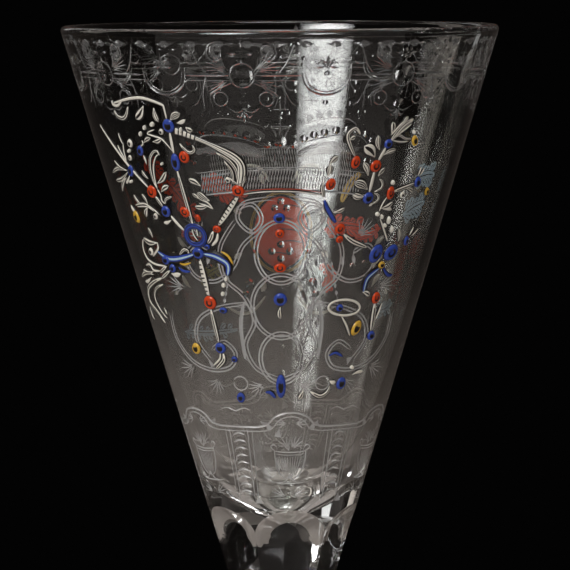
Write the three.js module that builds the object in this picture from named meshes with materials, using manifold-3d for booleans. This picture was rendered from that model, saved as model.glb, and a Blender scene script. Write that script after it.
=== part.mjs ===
// A goblet of clear glass with a tall funnel bowl, an inverted baluster stem and a wide foot.
// The pieces of the stem are gathers of glass fused seat to seat. On the outside of the bowl lie raised
// touches of opaque enamel: two sprays with ribbon bows, a row of drops at the front, and at the back
// an oval shield between red mantling scrolls. Millimetres, +Z up, the front of the bowl towards -Y.

import * as THREE from 'three';
import { mergeVertices } from 'three/addons/utils/BufferGeometryUtils.js';
import { ConvexGeometry } from 'three/addons/geometries/ConvexGeometry.js';
import Module from 'manifold-3d';

const wasm = await Module();
wasm.setup();

// Heights of the stacked pieces, from the table up
const footHeight = 14;
const lowerCollarHeight = 4;
const balusterHeight = 50;
const knopHeight = 12;
const upperCollarHeight = 4;
const bowlHeight = 121;

// Bowl
const rimRadius = 45;
const bowlBaseRadius = 9;
const rimWall = 2;
const bowlFloor = 20;
const fluteCount = 6;
const fluteSpring = 17.5;
const fluteArchRise = 5;
const fluteTurn = 7;

// Stem and foot
const collarRadius = 12;
const collarLedge = 1;
const collarSeatRadius = bowlBaseRadius + collarLedge;
const knopRadius = 11;
const knopSeatRadius = 6.5;
const balusterFootRadius = 7.5;
const balusterNeckRadius = 5.5;
const balusterShoulderRadius = 11;
const balusterTopRadius = 7.5;
const stemFacets = 6;
const footRadius = 44;
const footEdge = 3;
const footKick = 6;
const restingRingInset = 1.5;
const restingRingWidth = 4.5;

// Raised enamel
const drawingPitch = 1;
const beadLarge = 2.6;
const beadMedium = 2.2;
const beadSmall = 1.8;
const beadRise = 0.9;
const stemWidth = 0.9;
const featherWidth = 1.5;
const ribbonWidth = 1.4;
const strokeRise = 0.55;
const enamelSeat = 0.1;
const enamelGap = 0.25;
const loopHeight = 4.3;
const loopBand = 0.9;
const shieldWidth = 12;
const shieldHeight = 15;
const shieldFrameBand = 1.2;
const scrollWidth = 3.4;
const curlWidth = 2.4;
const plumeWidth = 2.6;
const fieldRise = 0.6;

// How finely round shapes are stepped
const wideSegments = 60;
const stemSegments = 36;
const beadSegments = 10;
const stationSpacing = 1.6;
const facetWidth = 3;

// Levels of the joints between the stacked pieces
const footTop = footHeight;
const lowerCollarTop = footTop + lowerCollarHeight;
const balusterTop = lowerCollarTop + balusterHeight;
const knopTop = balusterTop + knopHeight;
const bowlBottom = knopTop + upperCollarHeight;
const rimTop = bowlBottom + bowlHeight;
const lipRadius = rimWall / 2;
const lipCentre = rimTop - lipRadius;
const cavityBottom = bowlBottom + bowlFloor;

// Finishes
const clearGlass = { color: '#dfe7e6', roughness: 0.05, transparent: true, opacity: 0.35 };
const whiteEnamel = { color: '#e4dece', roughness: 0.35 };
const redEnamel = { color: '#c23f26', roughness: 0.3 };
const blueEnamel = { color: '#2c429c', roughness: 0.3 };
const yellowEnamel = { color: '#d8ac3e', roughness: 0.35 };
const paleBlueEnamel = { color: '#90a6b6', roughness: 0.4 };
const oliveEnamel = { color: '#96904a', roughness: 0.4 };

const goblet = new THREE.Group();

function addPiece(name, geometry, finish) {
  const piece = new THREE.Mesh(geometry, new THREE.MeshStandardMaterial({ ...finish, metalness: 0 }));
  piece.name = name;
  goblet.add(piece);
}

// Turned glass

const radians = THREE.MathUtils.degToRad;

// Turns an outline of [radius, height] points round the upright axis, starting at the front
function turned(outline, segments) {
  const points = outline.map(([radius, height]) => new THREE.Vector2(radius, height));
  const geometry = new THREE.LatheGeometry(points, segments);
  return geometry.rotateX(Math.PI / 2);
}

// Points of an arc in the outline plane, from one angle to another in degrees
function arc(radius, height, size, from, to, steps) {
  const point = (step) => {
    const angle = radians(from + ((to - from) * step) / steps);
    return [radius + size * Math.cos(angle), height + size * Math.sin(angle)];
  };
  return Array.from({ length: steps + 1 }, (_, step) => point(step));
}

function curveThrough(points, steps) {
  const curve = new THREE.SplineCurve(points.map(([radius, height]) => new THREE.Vector2(radius, height)));
  return curve.getPoints(steps).map((point) => [point.x, point.y]);
}

// The outside of the bowl is a straight cone from its base to the turn of the lip
const wallSlope = (rimRadius - bowlBaseRadius) / (lipCentre - bowlBottom);
const wallTilt = Math.atan(wallSlope);
const outerRadius = (height) => bowlBaseRadius + wallSlope * (height - bowlBottom);

// The wall thickens slowly towards the floor of the cavity and fills it there
const floorRadius = outerRadius(cavityBottom);
const wallThickening = 14;
function innerRadius(height) {
  const share = (height - cavityBottom) / (lipCentre - cavityBottom);
  const wall = rimWall + (floorRadius - rimWall) * (1 - share) ** wallThickening;
  return outerRadius(height) - wall;
}

function toSolid(geometry) {
  const bare = geometry.clone();
  bare.deleteAttribute('normal');
  bare.deleteAttribute('uv');
  const merged = mergeVertices(bare, 1e-4);
  const corners = merged.index.array;
  const triangles = [];
  for (let i = 0; i < corners.length; i += 3) {
    const [a, b, c] = corners.subarray(i, i + 3);
    if (a !== b && b !== c && c !== a) triangles.push(a, b, c);
  }
  const vertProperties = new Float32Array(merged.attributes.position.array);
  const triVerts = new Uint32Array(triangles);
  return new wasm.Manifold(new wasm.Mesh({ numProp: 3, vertProperties, triVerts }));
}

function fromSolid(solid) {
  const mesh = solid.getMesh();
  const geometry = new THREE.BufferGeometry();
  geometry.setAttribute('position', new THREE.BufferAttribute(new Float32Array(mesh.vertProperties), 3));
  geometry.setIndex(new THREE.BufferAttribute(new Uint32Array(mesh.triVerts), 1));
  geometry.computeVertexNormals();
  return geometry;
}

// The steps of the cavity crowd together where its floor curves
function bowlBlank() {
  const cavitySteps = 9;
  const crowding = 1.8;
  const cavity = Array.from({ length: cavitySteps }, (_, step) => {
    const share = (1 - (step + 1) / cavitySteps) ** crowding;
    const height = cavityBottom + share * (lipCentre - cavityBottom);
    return [Math.max(innerRadius(height), 0), height];
  });
  return turned(
    [
      [0, bowlBottom],
      [bowlBaseRadius, bowlBottom],
      ...arc(rimRadius - lipRadius, lipCentre, lipRadius, 0, 180, 6),
      ...cavity,
    ],
    wideSegments,
  );
}

// A flute is a flat cut whose face leans with the wall. It meets the next flute in a sharp edge up to
// its spring, and above that its half width, an angle round the axis, closes in a round arch.
function fluteCutter(turn) {
  const fullHalfWidth = Math.PI / fluteCount;
  const startBelow = 2;
  const archSteps = 6;
  const facePoint = (above, halfWidth) =>
    new THREE.Vector2(outerRadius(bowlBottom + above) * Math.cos(halfWidth), bowlBottom + above);
  const arch = Array.from({ length: archSteps + 1 }, (_, step) => {
    const angle = ((Math.PI / 2) * step) / archSteps;
    return facePoint(fluteSpring + fluteArchRise * Math.sin(angle), fullHalfWidth * Math.cos(angle));
  });
  const top = bowlBottom + fluteSpring + fluteArchRise;
  const reach = 2 * outerRadius(top);
  const section = new THREE.Shape([
    facePoint(-startBelow, fullHalfWidth),
    ...arch,
    new THREE.Vector2(reach, top),
    new THREE.Vector2(reach, bowlBottom - startBelow),
  ]);
  const geometry = new THREE.ExtrudeGeometry(section, { depth: reach, bevelEnabled: false });
  geometry.translate(0, 0, -reach / 2);
  geometry.rotateX(Math.PI / 2);
  return geometry.rotateZ(radians(turn - 90));
}

function bowl() {
  let solid = toSolid(bowlBlank());
  for (let flute = 0; flute < fluteCount; flute += 1) {
    solid = solid.subtract(toSolid(fluteCutter(fluteTurn + (360 / fluteCount) * flute)));
  }
  return fromSolid(solid);
}

// A collar is a flattened ring of glass with a round edge and a flat seat on each side
function collar(bottom, height) {
  const edge = collarRadius - collarSeatRadius;
  const steps = 5;
  const rounding = Array.from({ length: steps + 1 }, (_, step) => {
    const angle = radians(-90 + (180 / steps) * step);
    return [collarSeatRadius + edge * Math.cos(angle), bottom + (height / 2) * (1 + Math.sin(angle))];
  });
  return turned([[0, bottom], ...rounding, [0, bottom + height]], stemSegments);
}

// Rings of corners, each turned half a step from the last, give the knop its lozenge facets
function knop() {
  const shoulder = 0.88 * knopRadius;
  const levels = [
    [0, knopSeatRadius],
    [0.25, shoulder],
    [0.5, knopRadius],
    [0.75, shoulder],
    [1, knopSeatRadius],
  ];
  const corners = levels.flatMap(([share, radius], level) =>
    Array.from({ length: stemFacets }, (_, corner) => {
      const angle = (2 * Math.PI * (corner + (level % 2) / 2)) / stemFacets;
      const height = balusterTop + share * knopHeight;
      return new THREE.Vector3(radius * Math.sin(angle), -radius * Math.cos(angle), height);
    }),
  );
  return new ConvexGeometry(corners);
}

function baluster() {
  const level = (share) => lowerCollarTop + share * balusterHeight;
  const outline = curveThrough(
    [
      [balusterFootRadius, level(0)],
      [balusterNeckRadius, level(0.12)],
      [(balusterNeckRadius + balusterShoulderRadius) / 2, level(0.5)],
      [balusterShoulderRadius, level(0.84)],
      [balusterTopRadius, level(1)],
    ],
    18,
  );
  return turned([[0, level(0)], ...outline, [0, level(1)]], stemFacets);
}

// The foot rises to its seat in a hollow curve, stands on a flat ring and is domed underneath
function foot() {
  const ringOuter = footRadius - restingRingInset;
  const ringInner = ringOuter - restingRingWidth;
  const steps = 6;
  const underside = Array.from({ length: steps }, (_, step) => {
    const radius = (ringInner * step) / steps;
    return [radius, footKick * (1 - (radius / ringInner) ** 2)];
  });
  const upper = Array.from({ length: steps + 1 }, (_, step) => {
    const share = 1 - step / steps;
    const radius = collarSeatRadius + share * (ringOuter - collarSeatRadius);
    return [radius, footEdge + (footHeight - footEdge) * (1 - share) ** 1.6];
  });
  return turned(
    [
      ...underside,
      [ringInner, 0],
      [ringOuter, 0],
      [footRadius, footEdge * 0.35],
      [footRadius, footEdge * 0.65],
      ...upper,
      [0, footHeight],
    ],
    wideSegments,
  );
}

// Enamel on the wall of the bowl

// A motif has its own middle line on the bowl. Places in it are [across, down]: the distance to the right
// of that line along the wall, and the distance below the rim. A spot counts them in drawing pitches.
const motif = (name, azimuth) => ({ name, azimuth: radians(azimuth) });
const spot = (across, down, from = 0) => [from + across * drawingPitch, down * drawingPitch];

function onWall(at, across, down, lift) {
  const height = rimTop - down;
  const radius = outerRadius(height);
  const angle = at.azimuth + across / radius;
  const out = radius + (enamelSeat + lift) * Math.cos(wallTilt);
  const level = height - (enamelSeat + lift) * Math.sin(wallTilt);
  return new THREE.Vector3(out * Math.sin(angle), -out * Math.cos(angle), level);
}

// Joins rings of points into one closed skin. The rings follow one another, and each end is closed by a
// fan, unless the last ring leads back to the first.
function skin(rings, endless) {
  const count = rings[0].length;
  const triangles = [];
  const lastRing = endless ? rings.length : rings.length - 1;
  for (let ring = 0; ring < lastRing; ring += 1) {
    const next = (ring + 1) % rings.length;
    for (let side = 0; side < count; side += 1) {
      const beside = (side + 1) % count;
      const [a, b] = [ring * count + side, ring * count + beside];
      const [c, d] = [next * count + side, next * count + beside];
      triangles.push(a, b, c, b, d, c);
    }
  }
  if (!endless) {
    const end = (rings.length - 1) * count;
    for (let side = 1; side < count - 1; side += 1) {
      triangles.push(0, side + 1, side, end, end + side, end + side + 1);
    }
  }
  const geometry = new THREE.BufferGeometry().setFromPoints(rings.flat());
  geometry.setIndex(triangles);
  geometry.computeVertexNormals();
  return geometry;
}

// A rounded drop of enamel: rings of an oval, outwards under it and inwards over its crown
const smallDrop = [[0.3, 0], [1, 0], [0.85, 0.55], [0.5, 0.9], [0.2, 1]];
const broadField = [[0.1, 0], [0.35, 0], [0.68, 0], [1, 0], [0.94, 0.7], [0.68, 1], [0.35, 1], [0.1, 1]];

function drop(at, place, [width, height], tilt, rise, levels) {
  const [across, down] = place;
  const rings = levels.map(([scale, share]) =>
    Array.from({ length: beadSegments }, (_, step) => {
      const angle = (-2 * Math.PI * step) / beadSegments;
      const x = (scale * width * Math.cos(angle)) / 2;
      const y = (scale * height * Math.sin(angle)) / 2;
      const turnedX = x * Math.cos(tilt) - y * Math.sin(tilt);
      const turnedY = x * Math.sin(tilt) + y * Math.cos(tilt);
      return onWall(at, across + turnedX, down + turnedY, rise * share);
    }),
  );
  return skin(rings, false);
}

// A bead remembers its place and its reach, so that the strokes beside it can stop at its edge
function bead(at, name, place, size, finish, { tall = 1, tilt = 0 } = {}) {
  const geometry = drop(at, place, [size, size * tall], radians(tilt), beadRise, smallDrop);
  addPiece(`${at.name}_${name}`, geometry, finish);
  return { place, reach: (size * Math.max(tall, 1)) / 2 };
}

// The place of a bead that lies against another one, in a given direction
function beside(item, angle, size) {
  const distance = item.reach + enamelGap + size / 2;
  const [across, down] = item.place;
  return [across + distance * Math.cos(radians(angle)), down + distance * Math.sin(radians(angle))];
}

// One station of a stroke: an underside that follows the wall and a rounded crown over it
const stepsAcross = (width) => Math.max(2, Math.ceil(width / facetWidth));

function section(at, centre, side, width, rise, steps) {
  const place = (share, lift) =>
    onWall(at, centre.x + side.x * share * width, centre.y + side.y * share * width, lift);
  const under = Array.from({ length: steps + 1 }, (_, step) => place(step / steps - 0.5, 0));
  const over = Array.from({ length: steps + 1 }, (_, step) => {
    const share = 0.5 - (step + 0.5) / (steps + 1);
    return place(share, rise * (1 - (1.6 * share) ** 2));
  });
  return [...under, ...over];
}

// A stroke follows a smooth line through its places and narrows towards both ends
function strokeAlong(at, places, width, rise) {
  const curve = new THREE.CatmullRomCurve3(places.map(([x, y]) => new THREE.Vector3(x, y, 0)));
  const stations = Math.max(4, Math.ceil(curve.getLength() / stationSpacing));
  const rings = Array.from({ length: stations + 1 }, (_, station) => {
    const share = station / stations;
    const centre = curve.getPointAt(share);
    const along = curve.getTangentAt(share);
    const side = new THREE.Vector2(along.y, -along.x);
    const fullness = 0.35 + 0.65 * Math.sqrt(Math.sin(Math.PI * share));
    return section(at, centre, side, width * fullness, rise * fullness, stepsAcross(width));
  });
  return skin(rings, false);
}

const isPlace = (item) => Array.isArray(item);
const placeOf = (item) => (isPlace(item) ? item : item.place);

// Where a stroke that heads for a target leaves the edge of an item
function edgeOf(item, target) {
  if (isPlace(item)) return item;
  const centre = new THREE.Vector2(...item.place);
  const direction = new THREE.Vector2(...placeOf(target)).sub(centre).normalize();
  return centre.add(direction.multiplyScalar(item.reach + enamelGap)).toArray();
}

function stroke(at, name, start, via, end, width, finish, rise = strokeRise) {
  const first = edgeOf(start, via[0] ?? end);
  const last = edgeOf(end, via[via.length - 1] ?? start);
  addPiece(`${at.name}_${name}`, strokeAlong(at, [first, ...via, last], width, rise), finish);
}

// A closed oval band, such as one loop of a bow
function loop(at, name, place, [width, height], band, finish) {
  const steps = Math.round((Math.PI * (width + height)) / 2 / stationSpacing);
  const rings = Array.from({ length: steps }, (_, step) => {
    const angle = (2 * Math.PI * step) / steps;
    const side = new THREE.Vector2(Math.cos(angle), Math.sin(angle));
    const centre = new THREE.Vector2(
      place[0] + ((width - band) / 2) * side.x,
      place[1] + ((height - band) / 2) * side.y,
    );
    return section(at, centre, side, band, strokeRise, stepsAcross(band));
  });
  addPiece(`${at.name}_${name}`, skin(rings, true), finish);
  return { place, reach: Math.max(width, height) / 2 };
}

function leftSpray() {
  const at = motif('left_spray', -31.4);
  const top = bead(at, 'top_blue_bead', spot(-1.6, 19.1), beadLarge, blueEnamel);
  const middle = bead(at, 'long_blue_bead', spot(-1.4, 26.4), beadSmall, blueEnamel, { tall: 1.9 });
  const besideMiddle = beadSmall / 2 + enamelGap + beadMedium / 2;
  bead(at, 'stem_red_bead', spot(-1.4, 25.3, besideMiddle), beadMedium, redEnamel);
  const arcEnd = bead(at, 'feather_red_bead', spot(11.2, 31.9), beadMedium, redEnamel);
  const knot = bead(at, 'bow_knot', spot(0.2, 44.8), beadLarge, blueEnamel);
  const branchRed = bead(at, 'branch_red_bead', spot(-9.1, 32.6), beadLarge, redEnamel);
  const branchBlue = bead(at, 'branch_blue_bead', spot(-6.1, 36.5), beadMedium, blueEnamel);
  const hanging = bead(at, 'hanging_red_bead', spot(1, 54.9), beadLarge, redEnamel);
  bead(at, 'hanging_blue_bead', spot(1.6, 64.3), beadMedium, blueEnamel);

  const ringDown = knot.place[1] - knot.reach - enamelGap - loopHeight / 2;
  const ringPlace = [knot.place[0], ringDown];
  const ring = loop(at, 'bow_ring', ringPlace, [loopHeight, loopHeight], loopBand, blueEnamel);

  const crest = [spot(-10.4, 13.8), spot(-6.6, 13.6), spot(-2.6, 14.9)];
  stroke(at, 'crest_tendril', spot(-16.6, 15), crest, top, stemWidth, whiteEnamel);
  stroke(at, 'upper_stem', top, [], middle, stemWidth, whiteEnamel);
  stroke(at, 'lower_stem', middle, [spot(-0.8, 32.5)], ring, stemWidth, whiteEnamel);
  const feather = [spot(2.2, 20.8), spot(8.4, 23.4), spot(12.4, 26.4)];
  stroke(at, 'feather', top, feather, arcEnd, featherWidth, whiteEnamel);
  stroke(at, 'outer_branch', spot(-24.5, 19.6), [spot(-16.5, 26.5)], branchRed, stemWidth, whiteEnamel);
  stroke(at, 'inner_branch', branchRed, [], branchBlue, stemWidth, whiteEnamel);
  const leftward = [spot(-4.6, 46), spot(-7.7, 46.2)];
  const rightward = [spot(4, 45.4), spot(6.3, 46.9)];
  stroke(at, 'left_ribbon', knot, leftward, spot(-10.8, 45), ribbonWidth, blueEnamel);
  stroke(at, 'right_ribbon', knot, rightward, spot(5.9, 49.2), ribbonWidth, blueEnamel);
  stroke(at, 'hanging_stem', knot, [], hanging, featherWidth, whiteEnamel);
}

function rightSpray() {
  const at = motif('right_spray', 40.2);
  const top = bead(at, 'top_blue_bead', spot(-4.4, 22.9), beadSmall, blueEnamel);
  const red = bead(at, 'stem_red_bead', spot(-6.3, 27.3), beadMedium, redEnamel);
  const low = bead(at, 'stem_blue_bead', spot(-6.6, 33.7), beadMedium, blueEnamel);
  const sideRed = bead(at, 'side_red_bead', spot(-1.4, 32.9), beadSmall, redEnamel, { tall: 1.4 });
  const outer = bead(at, 'side_blue_bead', spot(5.7, 31), beadSmall, blueEnamel, { tall: 1.2 });
  const hookRed = bead(at, 'hook_red_bead', spot(-11, 26.4), beadSmall, redEnamel, { tall: 1.3 });
  const knot = bead(at, 'bow_knot', spot(0, 47.6), beadMedium, yellowEnamel);
  const hanging = bead(at, 'hanging_red_bead', spot(0.3, 54.4), beadMedium, redEnamel, { tall: 1.2 });
  const lowest = bead(at, 'hanging_blue_bead', spot(1, 62.2), beadSmall, blueEnamel);

  const loopWidth = 0.65 * loopHeight;
  const loopSize = [loopWidth, 0.8 * loopHeight];
  loop(at, 'bow_left_loop', beside(knot, -130, loopSize[1]), loopSize, loopBand, blueEnamel);
  loop(at, 'bow_right_loop', beside(knot, -50, loopSize[1]), loopSize, loopBand, blueEnamel);

  const hook = [spot(-12.5, 19.6), spot(-13.8, 20.8), spot(-13, 22.8)];
  stroke(at, 'hook', spot(-11.2, 20.8), hook, hookRed, stemWidth, whiteEnamel);
  stroke(at, 'plume', spot(0.8, 18.2), [spot(-1.6, 19.6)], top, featherWidth, whiteEnamel);
  stroke(at, 'upper_stem', top, [], red, stemWidth, whiteEnamel);
  stroke(at, 'lower_stem', red, [], low, stemWidth, whiteEnamel);
  stroke(at, 'side_branch', sideRed, [], outer, stemWidth, whiteEnamel);
  stroke(at, 'bow_tail', knot, [spot(-2.9, 50.2)], spot(-3.2, 53), ribbonWidth, blueEnamel);
  stroke(at, 'hanging_stem', hanging, [], lowest, featherWidth, whiteEnamel);
}

function frontDrops() {
  const at = motif('front', -0.3);
  bead(at, 'upper_red_bead', spot(0, 40.5), beadSmall, redEnamel);
  bead(at, 'middle_red_bead', spot(0, 47.5), beadMedium, redEnamel, { tall: 0.8 });
  bead(at, 'blue_bead', spot(0, 54), beadLarge, blueEnamel);
  bead(at, 'long_blue_drop', spot(0, 72), beadSmall, blueEnamel, { tall: 2.6 });
}

function backShield() {
  const at = motif('back', 180);
  const centre = spot(0, 45);
  const field = drop(at, centre, [shieldWidth, shieldHeight], 0, fieldRise, broadField);
  addPiece('back_shield_field', field, redEnamel);
  const frameGrowth = 2 * (enamelGap + shieldFrameBand);
  const frameSize = [shieldWidth + frameGrowth, shieldHeight + frameGrowth];
  loop(at, 'shield_frame', centre, frameSize, shieldFrameBand, yellowEnamel);

  const side = frameSize[0] / 2 + enamelGap;
  const strokeOf = (name, places, width, finish) =>
    stroke(at, name, places[0], places.slice(1, -1), places[places.length - 1], width, finish, fieldRise);
  const scroll = (name, places, width = scrollWidth) => strokeOf(name, places, width, redEnamel);
  const plume = (name, places, finish) => strokeOf(name, places, plumeWidth, finish);
  const tallScroll = [spot(36, 28.3), spot(31, 32.1), spot(26, 36), spot(20.1, 41.5)];
  scroll('left_red_scroll', tallScroll);
  scroll('left_lower_scroll', [spot(11, 33.2, side), spot(6.2, 35.8, side), spot(1, 38.6, side)]);
  scroll('right_red_scroll', [spot(-2.8, 44.6, -side), spot(-6.4, 43.4, -side), spot(-12.6, 43.8, -side)]);
  scroll('right_lower_scroll', [spot(-2.6, 51.4, -side), spot(-4.2, 54.5, -side), spot(-3.2, 57.6, -side)], curlWidth);
  plume('upper_plume', [spot(-34.8, 33), spot(-39.5, 32), spot(-44.6, 31.6)], paleBlueEnamel);
  plume('middle_plume', [spot(-31.5, 40.9), spot(-36, 39), spot(-41, 37.8)], paleBlueEnamel);
  plume('lower_plume', [spot(-24.7, 61), spot(-28, 60.4), spot(-31.4, 59)], paleBlueEnamel);
  plume('pale_banner', [spot(26, 64.8), spot(18, 65.6), spot(10.2, 65.3)], paleBlueEnamel);
  plume('olive_leaf', [spot(20, 54.5), spot(16.6, 53.1), spot(11.8, 51.2)], oliveEnamel);
  strokeOf('yellow_ribbon', [spot(-18.6, 32.5), spot(-15.9, 35), spot(-14, 38.6)], ribbonWidth, yellowEnamel);
}

addPiece('foot', foot(), clearGlass);
addPiece('lower_collar', collar(footTop, lowerCollarHeight), clearGlass);
addPiece('baluster', baluster(), clearGlass);
addPiece('knop', knop(), clearGlass);
addPiece('upper_collar', collar(knopTop, upperCollarHeight), clearGlass);
addPiece('bowl', bowl(), clearGlass);
leftSpray();
rightSpray();
frontDrops();
backShield();

export default goblet;
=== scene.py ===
# %% [markdown]
# # A baroque goblet: blown glass, wheel cutting and raised enamel
# The object is a tall goblet of clear glass. Its bowl is a straight funnel. A cutter on a copper wheel has
# engraved a border, a coronet, strapwork and panels into the outside of it, and an enameller has laid
# raised drops and strokes of coloured glass paste on top and fired them on.
# The frame below holds every piece at its real size. This lesson gives each piece its fine surface.

# %% Load the frame
import math

import bmesh
import bpy
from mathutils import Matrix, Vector
from mathutils.geometry import delaunay_2d_cdt


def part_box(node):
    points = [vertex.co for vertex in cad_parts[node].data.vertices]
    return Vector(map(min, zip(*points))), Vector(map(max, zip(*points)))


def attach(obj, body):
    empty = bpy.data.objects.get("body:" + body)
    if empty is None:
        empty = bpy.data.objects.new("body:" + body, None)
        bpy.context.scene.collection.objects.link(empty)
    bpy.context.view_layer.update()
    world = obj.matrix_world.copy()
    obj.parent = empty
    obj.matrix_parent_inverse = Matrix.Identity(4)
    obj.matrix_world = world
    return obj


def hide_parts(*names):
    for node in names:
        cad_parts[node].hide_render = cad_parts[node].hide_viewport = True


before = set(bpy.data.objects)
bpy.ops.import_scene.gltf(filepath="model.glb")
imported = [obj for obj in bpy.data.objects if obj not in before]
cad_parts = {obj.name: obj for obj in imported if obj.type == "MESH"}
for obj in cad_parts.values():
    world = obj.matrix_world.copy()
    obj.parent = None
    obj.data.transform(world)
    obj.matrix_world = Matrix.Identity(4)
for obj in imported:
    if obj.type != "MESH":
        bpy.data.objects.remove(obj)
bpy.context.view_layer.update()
print("nodes in the frame:", len(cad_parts))

# %% [markdown]
# ## Sizes
# Everything is thought out in millimetres and turned to metres once, when a mesh is made.
# The heights of the stacked pieces and the rim's radius are read from the frame. The other sizes are those
# of the frame's own drawing, repeated here because the frame gives only boxes.

# %% Sizes in millimetres
MM = 0.001


def levels(node):
    low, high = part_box(node)
    return round(low.z / MM, 3), round(high.z / MM, 3)


BOWL_BOTTOM, RIM_TOP = levels("bowl")
RIM_RADIUS = round(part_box("bowl")[1].x / MM, 3)
BOWL_BASE_RADIUS = 9.0
RIM_WALL = 2.0
BOWL_FLOOR = 20.0
WALL_THICKENING = 14
LIP_RADIUS = RIM_WALL / 2
LIP_CENTRE = RIM_TOP - LIP_RADIUS
CAVITY_BOTTOM = BOWL_BOTTOM + BOWL_FLOOR
SLOPE = (RIM_RADIUS - BOWL_BASE_RADIUS) / (LIP_CENTRE - BOWL_BOTTOM)
TILT = math.atan(SLOPE)
print(f"bowl {BOWL_BOTTOM} to {RIM_TOP} mm, rim radius {RIM_RADIUS} mm, wall leans {math.degrees(TILT):.1f} degrees")


def wall_radius(height):
    return BOWL_BASE_RADIUS + SLOPE * (height - BOWL_BOTTOM)


def around(angle, radius, height):
    """A place at an angle in radians to the right of the front, as seen from above."""
    return Vector((radius * math.sin(angle), -radius * math.cos(angle), height))


def new_object(name, data):
    made = bpy.data.objects.new(name, data)
    bpy.context.scene.collection.objects.link(made)
    return made


# %% [markdown]
# ## The camera
# The photograph looks at the bowl from the front, a little above the rim, with a long lens, and cuts off the
# stem and foot. The rim's ellipse and the slope of the wall fix the distance, the height and the lens.

# %% Camera
CAMERA_DISTANCE = 800.0
CAMERA_ABOVE_RIM = 16.3
CAMERA_ASIDE = 0.8
AIM_BELOW_RIM = 53.7
CAMERA_LENS = 245.3
SENSOR_WIDTH = 36.0
CAMERA_ROLL = -0.3

camera_data = bpy.data.cameras.new("camera")
camera_data.lens = CAMERA_LENS
camera_data.sensor_width = SENSOR_WIDTH
camera_data.clip_start = 0.01
camera = new_object("camera", camera_data)
camera.location = Vector((CAMERA_ASIDE, -CAMERA_DISTANCE, RIM_TOP + CAMERA_ABOVE_RIM)) * MM
aim = Vector((CAMERA_ASIDE, 0.0, RIM_TOP - AIM_BELOW_RIM)) * MM
camera.rotation_euler = (aim - camera.location).to_track_quat("-Z", "Y").to_euler()
camera.rotation_euler.rotate_axis("Z", math.radians(CAMERA_ROLL))
bpy.context.scene.camera = camera

# %% [markdown]
# ## A helper for nodes and colours
# Blender mixes light in linear numbers, but colours are easier to name as sRGB hex, so one function turns
# them over. A second function adds a node, sets its values and links its inputs.

# %% Node and colour helpers


def linear(hex_colour):
    channels = [int(hex_colour[i:i + 2], 16) / 255 for i in (1, 3, 5)]
    return [c / 12.92 if c <= 0.04045 else ((c + 0.055) / 1.055) ** 2.4 for c in channels] + [1.0]


def add_node(tree, kind, settings=None, inputs=None):
    node = tree.nodes.new(kind)
    for name, value in (settings or {}).items():
        setattr(node, name, value)
    for name, value in (inputs or {}).items():
        if isinstance(value, bpy.types.NodeSocket):
            tree.links.new(value, node.inputs[name])
        else:
            node.inputs[name].default_value = value
    return node


def new_material(name):
    material = bpy.data.materials.new(name)
    material.use_nodes = True
    tree = material.node_tree
    tree.nodes.clear()
    return material, tree


def finish_material(tree, shader):
    add_node(tree, "ShaderNodeOutputMaterial", inputs={"Surface": shader.outputs[0]})


# %% [markdown]
# ## Clear glass
# Potash glass, blown and fire-polished: colourless with a very slight grey, and never quite flat. The fire
# leaves long soft waves of about 9 mm and some 0.02 mm deep, so reflections waver a little.

# %% Polished glass
GLASS_WAVE = 9.0
GLASS_WAVE_DEPTH = 0.02
GLASS_TINT = "#f7f8f6"
GLASS_IOR = 1.5
POLISH = 0.02


def clear_glass_shader(tree, place):
    waves = add_node(tree, "ShaderNodeTexNoise", inputs={
        "Vector": place.outputs["Object"], "Scale": 1 / (GLASS_WAVE * MM), "Detail": 1.0})
    ripple = add_node(tree, "ShaderNodeBump", inputs={
        "Height": waves.outputs["Fac"], "Distance": GLASS_WAVE_DEPTH * MM, "Strength": 1.0})
    return add_node(tree, "ShaderNodeBsdfPrincipled", inputs={
        "Base Color": linear(GLASS_TINT), "Roughness": POLISH, "IOR": GLASS_IOR, "Transmission Weight": 1.0,
        "Normal": ripple.outputs["Normal"]})


polished_glass, tree = new_material("fire_polished_potash_glass")
finish_material(tree, clear_glass_shader(tree, add_node(tree, "ShaderNodeTexCoord")))

# %% [markdown]
# ## Painted light low in the bowl
# A faint pale film is painted light: it makes the lower bowl look misty and lighter. It is thickest low in
# the bowl, inside and outside, and gone towards the rim. It scatters a little of the light like thin mist.
# The bevels of the flutes get the same film, as painted light for their lighter band.

# %% Glass with painted light
PAINTED_LIGHT_PATCH = 22.0
PAINTED_LIGHT_UNEVENNESS = 0.2
PAINTED_LIGHT_COLOUR = "#d9d0c8"


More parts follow.
